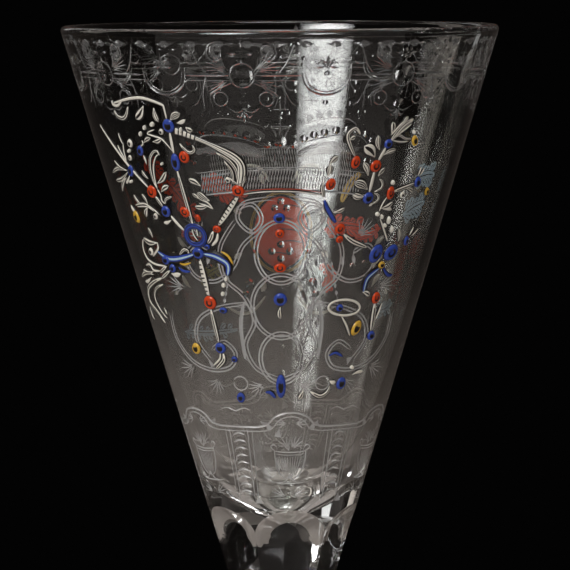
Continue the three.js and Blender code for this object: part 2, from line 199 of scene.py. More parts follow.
def glass_with_painted_light(name, most, starts, thickest, thins, ends):
    """Clear glass with a pale film of painted light that comes in and goes out between the given heights in
    millimetres.
    """
    material, tree = new_material(name)
    place = add_node(tree, "ShaderNodeTexCoord")
    clear = clear_glass_shader(tree, place)
    level = add_node(tree, "ShaderNodeSeparateXYZ", inputs={"Vector": place.outputs["Object"]})
    rise = add_node(tree, "ShaderNodeMapRange", inputs={
        "Value": level.outputs["Z"], "From Min": starts * MM, "From Max": thickest * MM,
        "To Min": 0.0, "To Max": most})
    fall = add_node(tree, "ShaderNodeMapRange", inputs={
        "Value": level.outputs["Z"], "From Min": thins * MM, "From Max": ends * MM, "To Min": 1.0, "To Max": 0.0})
    thickness = add_node(tree, "ShaderNodeMath", {"operation": "MULTIPLY"}, {
        0: rise.outputs["Result"], 1: fall.outputs["Result"]})
    patches = add_node(tree, "ShaderNodeTexNoise", inputs={
        "Vector": place.outputs["Object"], "Scale": 1 / (PAINTED_LIGHT_PATCH * MM), "Detail": 2.0})
    uneven = add_node(tree, "ShaderNodeMapRange", inputs={
        "Value": patches.outputs["Fac"], "From Min": 0.3, "From Max": 0.7,
        "To Min": 1 - PAINTED_LIGHT_UNEVENNESS, "To Max": 1 + PAINTED_LIGHT_UNEVENNESS})
    amount = add_node(tree, "ShaderNodeMath", {"operation": "MULTIPLY"}, {
        0: thickness.outputs[0], 1: uneven.outputs["Result"]})
    film = add_node(tree, "ShaderNodeBsdfDiffuse", inputs={"Color": linear(PAINTED_LIGHT_COLOUR)})
    shader = add_node(tree, "ShaderNodeMixShader", inputs={
        "Fac": amount.outputs[0], 1: clear.outputs[0], 2: film.outputs[0]})
    finish_material(tree, shader)
    return material


# Both films are painted light, which makes the glass low in the bowl misty and lighter
inner_painted_light = glass_with_painted_light("potash_glass_painted_light_inside", 0.14, 107.0, 119.0, 119.0, 186.0)
outer_painted_light = glass_with_painted_light("potash_glass_painted_light_outside", 0.13, 106.0, 116.0, 128.0, 158.0)
# The bevels of the flutes get a thicker pale film, painted light for their lighter band
bevel_painted_light = glass_with_painted_light("bevel_glass_painted_light", 0.34, 60.0, 90.0, 150.0, 160.0)

# %% [markdown]
# ## Wheel-cut glass
# The copper wheel and its emery leave a fine satin surface. In the border it was rubbed down again, so it
# lets most light through and scatters only about a tenth. The strapwork was left matt and scatters more.
# The grit is about 0.04 mm, too fine to show, so it is drawn at 0.12 mm.

# %% Matt cut glass
GRIT_SHOWN = 0.12
GRIT_DEPTH = 0.012
SATIN = 0.22
CUT_COLOUR = "#f4f3f1"


def wheel_cut_glass(name, clear_share):
    material, tree = new_material(name)
    place = add_node(tree, "ShaderNodeTexCoord")
    grit = add_node(tree, "ShaderNodeTexNoise", inputs={
        "Vector": place.outputs["Object"], "Scale": 1 / (GRIT_SHOWN * MM), "Detail": 2.0})
    grain = add_node(tree, "ShaderNodeBump", inputs={
        "Height": grit.outputs["Fac"], "Distance": GRIT_DEPTH * MM, "Strength": 1.0})
    shader = add_node(tree, "ShaderNodeBsdfPrincipled", inputs={
        "Base Color": linear(CUT_COLOUR), "Roughness": SATIN, "IOR": GLASS_IOR, "Transmission Weight": clear_share,
        "Normal": grain.outputs["Normal"]})
    finish_material(tree, shader)
    return material


cut_glass = wheel_cut_glass("wheel_engraved_glass", 0.9)
matt_cut_glass = wheel_cut_glass("wheel_engraved_matt_glass", 0.66)

# %% [markdown]
# ## Fired enamel
# Enamel is powdered coloured glass in oil, laid on thick with a brush and fused on in a low kiln. It is
# opaque and glossy with a soft edge, and brush strokes leave it a little uneven in tone. One function
# makes each colour: two close tones mixed by a noise as broad as a brush hair's trail, 0.4 mm. The red
# of the back is the same red painted lighter. This is painted light for the light that falls on it through the glass.

# %% Enamel colours
BRUSH_TRAIL = 0.4
ENAMEL_UNEVENNESS = 0.03
ENAMEL_RELIEF = 0.6
ENAMEL_IOR = 1.52
ENAMEL_GLOSS = 0.22
BLACK_GLOSS = 0.35


def enamel(name, light, dark, roughness=ENAMEL_GLOSS):
    material, tree = new_material(name)
    place = add_node(tree, "ShaderNodeTexCoord")
    trail = add_node(tree, "ShaderNodeTexNoise", inputs={
        "Vector": place.outputs["Object"], "Scale": 1 / (BRUSH_TRAIL * MM), "Detail": 3.0})
    tone = add_node(tree, "ShaderNodeMix", {"data_type": "RGBA"}, {"Factor": trail.outputs["Fac"]})
    tone.inputs["A"].default_value = linear(dark)
    tone.inputs["B"].default_value = linear(light)
    relief = add_node(tree, "ShaderNodeBump", inputs={
        "Height": trail.outputs["Fac"], "Distance": ENAMEL_UNEVENNESS * MM, "Strength": ENAMEL_RELIEF})
    shader = add_node(tree, "ShaderNodeBsdfPrincipled", inputs={
        "Base Color": tone.outputs["Result"], "Roughness": roughness, "IOR": ENAMEL_IOR,
        "Normal": relief.outputs["Normal"]})
    finish_material(tree, shader)
    return material


ENAMELS = {
    "white": enamel("tin_white_enamel", "#f8f4ea", "#dcd5c4"),
    "red": enamel("iron_red_enamel", "#e4501f", "#b02f10"),
    # The back's red is painted light: the same iron red made lighter, standing in for the light that falls on it
    # through the glass
    "red_wash": enamel("iron_red_painted_lighter", "#ff5228", "#e2401c"),
    "blue": enamel("cobalt_blue_enamel", "#4560c0", "#182878"),
    "yellow": enamel("antimony_yellow_enamel", "#e8bf4c", "#b98a28"),
    "pale": enamel("pale_blue_enamel", "#c4dcea", "#9ebccc"),
    "olive": enamel("olive_green_enamel", "#b3ad5a", "#85803c"),
    # The black also makes the wider strokes laid under the white ones, which are painted shade along their sides
    "black": enamel("manganese_black_enamel_and_painted_shade", "#1d1714", "#0e0b0a", BLACK_GLOSS),
}

# %% [markdown]
# ## Turned pieces of glass
# The foot and the collars were turned on the blowing iron, so each is an outline swept round the axis.
# A lathe function in mesh code keeps full control of the steps: 144 round the foot shows no corners.

# %% Lathe helper
OVERLAP = 0.08


def new_piece(name, vertices, faces, materials, smooth=True, face_materials=None):
    mesh = bpy.data.meshes.new(name)
    mesh.from_pydata([Vector(v) * MM for v in vertices], [], faces)
    for material in materials:
        mesh.materials.append(material)
    if face_materials:
        mesh.polygons.foreach_set("material_index", face_materials)
    mesh.polygons.foreach_set("use_smooth", [smooth] * len(mesh.polygons))
    mesh.validate()
    piece = new_object(name, mesh)
    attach(piece, "root")
    return piece


def turn_outline(outline, columns):
    """Sweeps [radius, height] points that start and end on the axis into a closed body."""
    vertices = [(0.0, 0.0, outline[0][1])]
    inner = outline[1:-1]
    for radius, height in inner:
        for column in range(columns):
            vertices.append(around(2 * math.pi * column / columns, radius, height))
    top = len(vertices)
    vertices.append((0.0, 0.0, outline[-1][1]))
    faces = []
    for column in range(columns):
        beside = (column + 1) % columns
        faces.append((0, 1 + beside, 1 + column))
        last = 1 + (len(inner) - 1) * columns
        faces.append((top, last + column, last + beside))
        for row in range(len(inner) - 1):
            a, b = 1 + row * columns, 1 + (row + 1) * columns
            faces.append((a + column, a + beside, b + beside, b + column))
    return vertices, faces


def arc_points(radius, height, size, start, end, steps):
    angles = [math.radians(start + (end - start) * step / steps) for step in range(steps + 1)]
    return [(radius + size * math.cos(a), height + size * math.sin(a)) for a in angles]


# %% [markdown]
# ## Foot
# The foot rises to its seat in a hollow curve and stands on a flat ground ring. Its edge is fire-polished
# round. Underneath it is domed, so that the scar of the pontil can't scratch the table.

# %% Foot
FOOT_TOP = levels("foot")[1]
FOOT_RADIUS = round(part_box("foot")[1].x / MM, 3)
FOOT_EDGE = 3.0
FOOT_KICK = 6.0
RING_INSET = 1.5
RING_WIDTH = 4.5
COLLAR_SEAT_RADIUS = 10.0
FOOT_HOLLOWNESS = 1.6
FOOT_COLUMNS = 144
ROUNDING_STEP = 15
UNDER_STEPS = 14
UPPER_STEPS = 18
ring_outer = FOOT_RADIUS - RING_INSET
ring_inner = ring_outer - RING_WIDTH


def foot_outline():
    under = [(ring_inner * s / UNDER_STEPS, FOOT_KICK * (1 - (s / UNDER_STEPS) ** 2)) for s in range(UNDER_STEPS)]
    edge = [(FOOT_RADIUS - FOOT_EDGE / 2 * (1 - math.cos(a)), FOOT_EDGE / 2 * (1 + math.sin(a)))
            for a in [math.radians(a) for a in range(-75, 76, ROUNDING_STEP)]]
    upper = []
    for s in range(1, UPPER_STEPS + 1):
        share = 1 - s / UPPER_STEPS
        radius = COLLAR_SEAT_RADIUS + share * (ring_outer - COLLAR_SEAT_RADIUS)
        upper.append((radius, FOOT_EDGE + (FOOT_TOP - FOOT_EDGE) * (1 - share) ** FOOT_HOLLOWNESS))
    return under + [(ring_inner, 0.0), (ring_outer, 0.0)] + edge + upper + [(0.0, FOOT_TOP)]


foot = new_piece("foot_glass", *turn_outline(foot_outline(), FOOT_COLUMNS), [polished_glass])
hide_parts("foot")
print("foot faces:", len(foot.data.polygons))

# %% [markdown]
# ## Collars, baluster and knop
# Between the foot and the bowl come four gathers of hot glass: a flat collar, an inverted baluster with six
# long facets, a knop with lozenge facets, and another collar. Where two are fused the real joint can't be
# seen, so each piece reaches 0.08 mm into the one below, which lets light through without a silver film.

# %% Collars
COLLAR_RADIUS = round(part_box("upper_collar")[1].x / MM, 3)
COLLAR_COLUMNS = 96


def collar(node, name):
    low, high = levels(node)
    edge = COLLAR_RADIUS - COLLAR_SEAT_RADIUS
    middle = (low + high) / 2
    half = (high - low) / 2
    angles = [math.radians(a) for a in range(-90, 91, ROUNDING_STEP)]
    rounding = [(COLLAR_SEAT_RADIUS + edge * math.cos(a), middle + half * math.sin(a)) for a in angles]
    outline = [(0.0, low - OVERLAP), (COLLAR_SEAT_RADIUS - 1, low - OVERLAP)] + rounding + [(0.0, high)]
    piece = new_piece(name, *turn_outline(outline, COLLAR_COLUMNS), [polished_glass])
    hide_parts(node)
    return piece


lower_collar = collar("lower_collar", "lower_collar_glass")
upper_collar = collar("upper_collar", "upper_collar_glass")

# %% Baluster with six cut facets
STEM_FACETS = 6
BALUSTER_LOW, BALUSTER_HIGH = levels("baluster")
BALUSTER_RADII = ((0.0, 7.5), (0.12, 5.5), (0.5, 8.25), (0.84, 11.0), (1.0, 7.5))
BALUSTER_STEPS = 9


def smooth_through(points, steps):
    """A smooth curve in the plane that passes through every one of the points."""
    padded = [points[0]] + list(points) + [points[-1]]
    result = []
    for i in range(1, len(padded) - 2):
        before, start, end, after = [Vector(p) for p in padded[i - 1:i + 3]]
        for step in range(steps):
            t = step / steps
            result.append(0.5 * (2 * start + (end - before) * t
                                 + (2 * before - 5 * start + 4 * end - after) * t ** 2
                                 + (3 * start - before - 3 * end + after) * t ** 3))
    return result + [Vector(points[-1])]


height = BALUSTER_HIGH - BALUSTER_LOW
profile = smooth_through([(r, BALUSTER_LOW + share * height) for share, r in BALUSTER_RADII], BALUSTER_STEPS)
outline = [(0.0, BALUSTER_LOW - OVERLAP)] + [tuple(p) for p in profile] + [(0.0, BALUSTER_HIGH)]
outline.insert(1, (BALUSTER_RADII[0][1], BALUSTER_LOW - OVERLAP))
baluster = new_piece("baluster_glass", *turn_outline(outline, STEM_FACETS), [polished_glass], smooth=False)
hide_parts("baluster")

# %% Knop with lozenge facets
KNOP_LOW, KNOP_HIGH = levels("knop")
KNOP_RADIUS = 11.0
KNOP_SEAT_RADIUS = 6.5
KNOP_SHOULDER = 0.88
FACET_EDGE = 0.35
FACET_ANGLE = 10


def knop_shape():
    rings = ((0.0, KNOP_SEAT_RADIUS), (0.25, KNOP_SHOULDER * KNOP_RADIUS), (0.5, KNOP_RADIUS),
             (0.75, KNOP_SHOULDER * KNOP_RADIUS), (1.0, KNOP_SEAT_RADIUS))
    form = bmesh.new()
    for level, (share, radius) in enumerate(rings):
        for corner in range(STEM_FACETS):
            z = KNOP_LOW + share * (KNOP_HIGH - KNOP_LOW) - (OVERLAP if level == 0 else 0)
            form.verts.new(around(2 * math.pi * (corner + (level % 2) / 2) / STEM_FACETS, radius, z))
    bmesh.ops.convex_hull(form, input=form.verts)
    bmesh.ops.dissolve_limit(form, angle_limit=math.radians(1), verts=form.verts, edges=form.edges)
    bmesh.ops.recalc_face_normals(form, faces=form.faces)
    form.verts.index_update()
    vertices = [tuple(v.co) for v in form.verts]
    faces = [tuple(v.index for v in face.verts) for face in form.faces]
    form.free()
    return vertices, faces


knop = new_piece("knop_glass", *knop_shape(), [polished_glass], smooth=False)
bevel = knop.modifiers.new("rounded_edges", "BEVEL")
bevel.width = FACET_EDGE * MM
bevel.segments = 2
bevel.limit_method = "ANGLE"
bevel.angle_limit = math.radians(FACET_ANGLE)
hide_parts("knop")
print("stem pieces:", lower_collar.name, baluster.name, knop.name, upper_collar.name)

# %% [markdown]
# ## Unrolling the bowl
# Engraving is drawn flat. A cone can be cut along one side and unrolled without any stretch, so the
# drawing is made on that flat sheet in true millimetres and then rolled up again. `unroll` takes a place
# on the wall, as an angle from the front and a height, to the sheet, and `roll` brings a point back.

# %% Unrolling
SPREAD = math.sin(TILT)
SEAM = 183.0


def unroll(azimuth, height):
    reach = wall_radius(height) / SPREAD
    angle = math.radians(azimuth) * SPREAD
    return Vector((reach * math.sin(angle), -reach * math.cos(angle)))


def roll(point):
    reach = point.length
    azimuth = math.degrees(math.atan2(point.x, -point.y)) / SPREAD
    return azimuth, BOWL_BOTTOM + (reach * SPREAD - BOWL_BASE_RADIUS) / SLOPE


def on_wall(azimuth, height, lift):
    """A place on the outside of the cone, lifted off it by some millimetres."""
    out = wall_radius(height) + lift * math.cos(TILT)
    return around(math.radians(azimuth), out, height - lift * math.sin(TILT))


# %% [markdown]
# ## Drawing with the wheel
# A copper wheel makes few kinds of cut: a line that swells and thins, a pointed olive, and a round lens
# that is polished again. Each cut is kept as stations on the sheet: a point, a half width and a depth.
# A stencil places a drawing: its own x runs to the right and its own y up the wall.

# %% Cuts of the wheel
LINE = 0.2
LINE_DEPTH = 0.16
RING_LINE = 0.14
RING_LINE_DEPTH = 0.12
RING_STEP = 0.7
BALL_DEPTH = 0.34
LENS_FLATNESS = 0.24
cuts = []


class Stencil:
    def __init__(self, azimuth, height):
        self.origin = unroll(azimuth, height)
        self.along = math.radians(azimuth) * SPREAD

    def at(self, x, y):
        c, s = math.cos(self.along), math.sin(self.along)
        # On the sheet the rim lies further from the apex, and the wall's right-hand side runs along +x
        return self.origin + Vector((x * c + y * s, x * s - y * c))


def add_cut(points, halves, depths, closed=False):
    cuts.append({"points": points, "halves": halves, "depths": depths, "closed": closed})


def evenly(places, steps):
    start, end = Vector(places[0]), Vector(places[-1])
    return [start.lerp(end, i / steps) for i in range(steps + 1)]


def line(stencil, places, half=LINE, depth=LINE_DEPTH, steps=5, swell=0.5):
    """A tapered cut through the places: half is its half width at its widest."""
    path = smooth_through(places, steps) if len(places) > 2 else evenly(places, steps)
    count = len(path) - 1
    fullness = [math.sin(math.pi * (0.04 + 0.92 * i / count)) ** swell for i in range(count + 1)]
    add_cut([stencil.at(*p) for p in path], [half * f for f in fullness], [depth * f for f in fullness])


def olive(stencil, start, end, half, depth=0.22):
    line(stencil, [start, end], half, depth, steps=6, swell=1.0)


def ball(stencil, x, y, radius, depth=BALL_DEPTH):
    """A round lens, cut and polished clear."""
    cuts.append({"ball": stencil.at(x, y), "radius": radius, "depth": min(depth, LENS_FLATNESS * radius)})


def ring(stencil, x, y, radius, tall=1.0):
    steps = max(12, int(2 * math.pi * radius / RING_STEP))
    angles = [2 * math.pi * i / steps for i in range(steps)]
    points = [stencil.at(x + radius * math.cos(a), y + tall * radius * math.sin(a)) for a in angles]
    add_cut(points, [RING_LINE] * steps, [RING_LINE_DEPTH] * steps, closed=True)


def mirrored(side, *places):
    """The places as they are for side 1, and mirrored for side -1."""
    return [(side * x, y) for x, y in places]


# %% [markdown]
# ## The border
# Eight times round the bowl, under the rim: a band line that drops in a half circle, and between the drops a
# rosette with a polished lens, leaf fans to both sides, rings and a lily below.

# %% Border
BORDER_REPEATS = 8
BORDER_PITCH = 360 / BORDER_REPEATS
BORDER_TURN = -10.0
BAND_HEIGHT = 196.0
DROP_HALF_WIDTH = 4.9
DROP_DEPTH = 4.4
BAND_STEP = 1.2
FAN_LINE = 0.12
FAN_DEPTH = 0.11


def leaf_fan(stencil, origin, towards, spread, count, length):
    """Fine curved cuts that fan out of one place like a leaf."""
    for i in range(count):
        share = i / (count - 1) - 0.5
        angle = math.radians(towards + spread * share)
        reach = length * (1 - 0.9 * share ** 2)
        bend = math.radians(towards + spread * share * 1.6)
        middle = (origin[0] + 0.55 * reach * math.cos(angle), origin[1] + 0.55 * reach * math.sin(angle))
        tip = (middle[0] + 0.45 * reach * math.cos(bend), middle[1] + 0.45 * reach * math.sin(bend))
        start = (origin[0] + 0.22 * reach * math.cos(angle), origin[1] + 0.22 * reach * math.sin(angle))
        line(stencil, [start, middle, tip], FAN_LINE, FAN_DEPTH, steps=4)


def lily(stencil, x, y, size, up=1.0):
    olive(stencil, (x, y), (x, y + up * size), 0.16 * size)
    for side in (-1, 1):
        line(stencil, [(x + side * 0.12 * size, y), (x + side * 0.4 * size, y + up * 0.5 * size),
                       (x + side * 0.75 * size, y + up * 0.35 * size)], 0.1 * size, 0.14, steps=3)

# %% Rosette


def rosette(stencil):
    ball(stencil, 0, 0, 2.1, 0.55)
    ring(stencil, 0, 0, 2.5)
    for angle in range(0, 360, 90):
        a = math.radians(angle + 45)
        b = math.radians(angle)
        ball(stencil, 0.85 * math.cos(a), 4.4 + 0.85 * math.sin(a), 0.62)
        olive(stencil, (1.2 * math.cos(b), 4.4 + 1.2 * math.sin(b)),
              (2.3 * math.cos(b), 4.4 + 2.3 * math.sin(b)), 0.3)
    ball(stencil, 0, 4.4, 0.45)
    ball(stencil, 0, -3.9, 0.55)
    ball(stencil, 0, -6.2, 1.15)
    lily(stencil, 0, -7.6, 2.0, up=-1)
    for side in (-1, 1):
        line(stencil, mirrored(side, (0.4, -7.3), (1.6, -7.6), (2.9, -6.9)), 0.16)
        ring(stencil, side * 4.6, -4.9, 1.45)
        ball(stencil, side * 4.6, -4.9, 0.5)
        line(stencil, mirrored(side, (2.3, -1.6), (4.4, -2.6), (6.7, -4.2), (6.2, -6.6)), 0.15)
        leaf_fan(stencil, (side * 2.6, 0.7), 90 - side * 62, 58, 8, 5.2)
        leaf_fan(stencil, (side * 3.0, -1.0), 90 - side * 122, 36, 5, 4.2)
        ring(stencil, side * 5.2, 4.8, 1.2, tall=1.1)
        line(stencil, mirrored(side, (3.9, 3.4), (5.6, 2.9), (6.9, 4.0), (6.6, 5.9), (5.0, 6.9)), 0.17)

# %% Drops of the band and the branches beside them
# A stem row is: half width, places. A berry row is: right, up, radius.
BRANCH_STEMS = ((0.18, (9.4, 0.3), (8.0, 2.4), (6.9, 5.9)), (0.13, (8.0, 2.4), (6.4, 2.2), (5.4, 3.0)),
                (0.18, (9.4, -0.6), (8.1, -3.4), (7.9, -7.2)), (0.13, (8.1, -3.4), (6.8, -5.6), (5.7, -6.4)))
BRANCH_BERRIES = ((6.3, 6.6, 0.55), (7.7, 6.3, 0.4), (4.9, 3.4, 0.5), (5.0, 2.1, 0.36), (5.2, -6.1, 0.5),
                  (7.2, -7.9, 0.45), (8.6, -8.0, 0.38), (6.4, -1.7, 0.62), (6.2, -3.4, 0.42),
                  (9.2, -4.9, 0.4), (9.6, 3.6, 0.42), (6.0, 4.5, 0.36))
BERRY_DEPTH = 0.2


def branch(stencil, side):
    """A lily branch beside the drop of the band."""
    for half, *places in BRANCH_STEMS:
        line(stencil, mirrored(side, *places), half)
    for x, y, size in BRANCH_BERRIES:
        ball(stencil, side * x, y, size, BERRY_DEPTH)


def band_drop(stencil):
    half_circle = [(DROP_HALF_WIDTH * math.sin(math.radians(a)),
                    0.35 - DROP_DEPTH * math.cos(math.radians(a))) for a in range(-90, 91, 15)]
    line(stencil, half_circle, 0.24, 0.2, steps=2, swell=0.2)
    inner = [(0.86 * x, 0.35 + 0.86 * (y - 0.35)) for x, y in half_circle]
    line(stencil, inner, 0.13, 0.12, steps=2, swell=0.2)
    ball(stencil, 0, 0.4, 0.62)
    lily(stencil, 0, 1.5, 2.6)
    for side in (-1, 1):
        olive(stencil, (side * 0.5, 1.7), (side * 2.1, 1.5), 0.28)
        olive(stencil, (side * 0.3, 2.6), (side * 1.5, 3.2), 0.22)
        branch(stencil, side)
    ball(stencil, 0, -5.6, 0.6)


def along_band(start, end, height, half, depth):
    """A level line between two angles, which becomes an arc on the unrolled sheet."""
    steps = max(4, int(math.radians(end - start) * wall_radius(height) / BAND_STEP))
    points = [unroll(start + (end - start) * i / steps, height) for i in range(steps + 1)]
    fullness = [1.0 if 0 < i < steps else 0.3 for i in range(steps + 1)]
    add_cut(points, [half * f for f in fullness], [depth * f for f in fullness])

# %% The border all the way round
for repeat in range(BORDER_REPEATS):
    centre = BORDER_TURN + BORDER_PITCH * repeat
    rosette(Stencil(centre, BAND_HEIGHT))
    band_drop(Stencil(centre + BORDER_PITCH / 2, BAND_HEIGHT))
    degrees_per_mm = math.degrees(1 / wall_radius(BAND_HEIGHT))
    inner_end = 2.7 * degrees_per_mm
    outer_end = BORDER_PITCH / 2 - (DROP_HALF_WIDTH + 0.2) * degrees_per_mm
    for offset, half in ((0.0, 0.2), (-1.0, 0.11)):
        along_band(centre + inner_end, centre + outer_end, BAND_HEIGHT + offset, half, 0.16)
        along_band(centre - outer_end, centre - inner_end, BAND_HEIGHT + offset, half, 0.16)

RIM_OVALS = 48
RIM_OVAL_HEIGHT = 202.1
for i in range(RIM_OVALS):
    spot = Stencil(SEAM + 360 / RIM_OVALS * (i + 0.5) - 360, RIM_OVAL_HEIGHT)
    olive(spot, (-1.25, 0), (1.25, 0), 0.75, 0.3)
print("cuts in the border:", len(cuts))

# %% [markdown]
# ## The coronet and the strapwork below it
# At the front, between the sprays, stands a plain coronet: a hatched circlet with arches of small lenses.
# Below it the bowl has a symmetric ornament of interlaced straps, drawn as double lines, with lenses where
# they cross. This is common baroque strapwork: ovals in a chain, and C-scrolls on both sides.

# %% Coronet
CIRCLET_LOW = 173.2
CIRCLET_HIGH = 177.8
CIRCLET_BOW = -0.0088
CIRCLET_STATIONS = (-17, -11, -5.5, 0, 5.5, 11, 17)
TICK_PITCH = 0.56
TICK_ROWS = 3
TICKS_WIDE = 33
BEAD_DEPTH = 0.46
CREST = ((2.6, 4.4), (5.2, 5.8), (8.8, 6.6), (13.0, 6.8), (16.8, 5.9), (19.0, 3.4), (18.4, 0.4), (16.8, -1.4))
CREST_LINE = ((2.8, 3.6), (5.4, 4.9), (8.8, 5.6), (12.8, 5.8), (16.0, 5.0), (17.7, 3.0), (17.2, 0.6))


def beaded(stencil, places, size, spacing):
    path = smooth_through(places, 16)
    gone = spacing
    for before, here in zip(path, path[1:]):
        gone += (here - before).length
        if gone >= spacing:
            ball(stencil, here.x, here.y, size, BEAD_DEPTH)
            gone = 0.0


def coronet(azimuth):
    """A hatched circlet with two beaded arches, an orb and a small cross on it."""
    low = Stencil(azimuth, CIRCLET_LOW)
    height = (CIRCLET_HIGH - CIRCLET_LOW) / math.cos(TILT)

    def bowed(x, y):
        return x, y + CIRCLET_BOW * x ** 2

    for y, half in ((0.0, 0.22), (height, 0.1)):
        line(low, [bowed(x, y) for x in CIRCLET_STATIONS], half, 0.16, steps=5, swell=0.25)
    tick = (height - 0.5) / TICK_ROWS
    count = int(TICKS_WIDE / TICK_PITCH)
    for row in range(TICK_ROWS):
        for i in range(count):
            x = (i + 0.25 + 0.5 * (row % 2) - count / 2) * TICK_PITCH
            y = 0.45 + row * tick
            line(low, [bowed(x, y), bowed(x + 0.12, y + 0.84 * tick)], 0.16, 0.13, steps=2)
    top = height + 0.3
    for side in (-1, 1):
        beaded(low, [(side * x, top + y) for x, y in CREST], 0.82, 2.1)
        line(low, [(side * x, top + y) for x, y in CREST_LINE], 0.12, steps=4)
        line(low, mirrored(side, (3.6, top + 2.2), (8.6, top + 3.4), (15.4, top + 2.2)), 1.3, 0.16, steps=10)
        line(low, mirrored(side, (1.9, top + 3.9), (1.1, top + 2.6), (0.9, top + 0.2)), 0.16)
        line(low, mirrored(side, (0.3, top + 3.4), (0.3, top + 0.4)), 0.09)
    line(low, [(-2.6, top + 4.2), (0, top + 3.9), (2.6, top + 4.2)], 0.16)
    ball(low, 0, top + 5.1, 1.25, 0.8)
    line(low, [(0, top + 6.5), (0, top + 9.9)], 0.15)
    line(low, [(-1.7, top + 8.2), (1.7, top + 8.2)], 0.13)
    for x, y in ((-1.8, 8.2), (1.8, 8.2), (0, 10.1)):
        ball(low, x, top + y, 0.34, 0.15)


coronet(0.0)
coronet(180.0)

# %% Strapwork
STRAPWORK_HEIGHT = 149.5
STRAP_GAP = 0.66
STRAP_LINE = 0.17
STRAP_DEPTH = 0.07
# The ovals of the chain: height of the middle, half width, half height
CHAIN = ((11.6, 5.0, 6.6), (0.0, 5.8, 6.8), (-11.2, 4.2, 5.4))
STRAPS = (((2.4, 23.0), (7.2, 21.8), (8.6, 18.4), (5.8, 15.8), (3.8, 18.6), (5.6, 21.6), (8.6, 20.6)),
          ((9.6, 17.2), (12.4, 11.6), (11.6, 5.6), (7.4, 1.8), (5.4, -3.4), (7.2, -8.6), (5.2, -13.4), (0.8, -15.6)),
          ((2.6, 17.4), (7.4, 13.0), (9.6, 8.0), (13.4, 4.4), (18.0, 4.6), (20.2, 8.0), (18.2, 11.2), (15.2, 10.4)),
          ((25.6, -6.4), (24.4, -11.0), (20.2, -14.6), (15.0, -15.4), (10.6, -14.0), (9.4, -10.8), (11.8, -8.6),
           (14.2, -10.4)),
          ((7.0, 0.4), (12.6, -1.2), (17.4, -4.6), (18.4, -9.4), (15.4, -13.0)))
# A lens row is: right, up, radius. A fan row is: right, up, lean, spread, cuts, length.
MIDDLE_LENSES = ((0, 22.4, 0.75), (-1.2, 21.0, 0.75), (1.2, 21.0, 0.75), (0, 13.3, 0.8), (-1.8, 11.8, 0.8),
                 (1.8, 11.8, 0.8), (0, 10.3, 0.8), (0, -8.6, 0.6), (0, -14.4, 0.85), (0, -17.6, 0.6))
SIDE_LENSES = ((6.4, 4.8, 1.0), (7.0, 2.4, 0.75), (5.6, 11.6, 0.55), (14.9, 7.4, 0.7), (17.6, 7.6, 0.6),
               (21.6, -8.0, 0.6), (12.0, -11.2, 0.5), (9.8, -17.0, 0.6), (4.4, -18.0, 0.5))
FANS = ((15.8, 13.4, 50, 70, 7, 4.4), (21.0, 1.4, 96, 60, 6, 4.4), (19.4, -15.8, 122, 60, 6, 4.4),
        (3.4, -17.0, 118, 60, 6, 3.4), (13.2, -17.0, 160, 70, 6, 3.4))
RUNGS = 9
HUSKS = 6

# %% Drawing the straps


def strap(stencil, places):
    """Two parallel lines, a strap's two edges."""
    path = smooth_through(places, 6)
    for side in (-1, 1):
        edge = []
        for i, point in enumerate(path):
            before, after = path[max(i - 1, 0)], path[min(i + 1, len(path) - 1)]
            along = (after - before).normalized()
            edge.append(point + side * STRAP_GAP / 2 * Vector((-along.y, along.x)))
        line(stencil, edge, STRAP_LINE, STRAP_DEPTH, steps=1, swell=0.3)


def strapwork(azimuth, height):
    """Heights in it are counted from its middle."""
    sheet = Stencil(azimuth, height)
    for y, wide, tall in CHAIN:
        strap(sheet, [(wide * math.cos(math.radians(a)), y + tall * math.sin(math.radians(a)))
                      for a in range(0, 361, 24)])
    for x, y, size in MIDDLE_LENSES:
        ball(sheet, x, y, size)
    for side in (-1, 1):
        for places in STRAPS:
            strap(sheet, mirrored(side, *places))
        line(sheet, mirrored(side, (7.6, 0.2), (8.2, -4.6), (7.4, -11.6)), 0.4, 0.16, steps=5, swell=0.3)
        for i in range(RUNGS):
            y = 0.2 - 0.75 * i
            line(sheet, mirrored(side, (7.4, y), (8.6, y - 0.15)), 0.1, 0.1, steps=2)
        for x, y, size in SIDE_LENSES:
            ball(sheet, side * x, y, size)
        for i in range(HUSKS):
            olive(sheet, (side * (10.2 + 0.26 * i), 9.0 - 1.6 * i), (side * (10.3 + 0.26 * i), 7.9 - 1.6 * i), 0.3)
        for x in (12.4, 14.9):
            olive(sheet, (side * x, 9.8), (side * (x + 0.3), 7.6), 0.42)
        ring(sheet, side * 8.4, -17.2, 1.5)
        for x, y, lean, spread, count, length in FANS:
            leaf_fan(sheet, (side * x, y), 90 - side * lean, spread, count, length)


strapwork(0.0, STRAPWORK_HEIGHT)
print("cuts so far:", len(cuts))

# %% [markdown]
# ## The panels above the flutes
# The lowest register is drawn like a row of windows: six panels with a raised arch in the top line, pillars
# filled with small bars between them, twin lenses on the line and a footed vase in each panel.

# %% Panels
PANELS = 6
PANEL_PITCH = 360 / PANELS
PANEL_TURN = 5.0
PANEL_LINE = 124.3
PANEL_FOOT = 109.0
PANEL_TOP = (PANEL_LINE - PANEL_FOOT) / math.cos(TILT)
ARCH_HALF_WIDTH = 4.5
ARCH_RISE = 3.2
PILLAR_BARS = 9
TOP_LINE = 0.24
TOP_LINE_DEPTH = 0.18
VASE_HEIGHT = 7.2


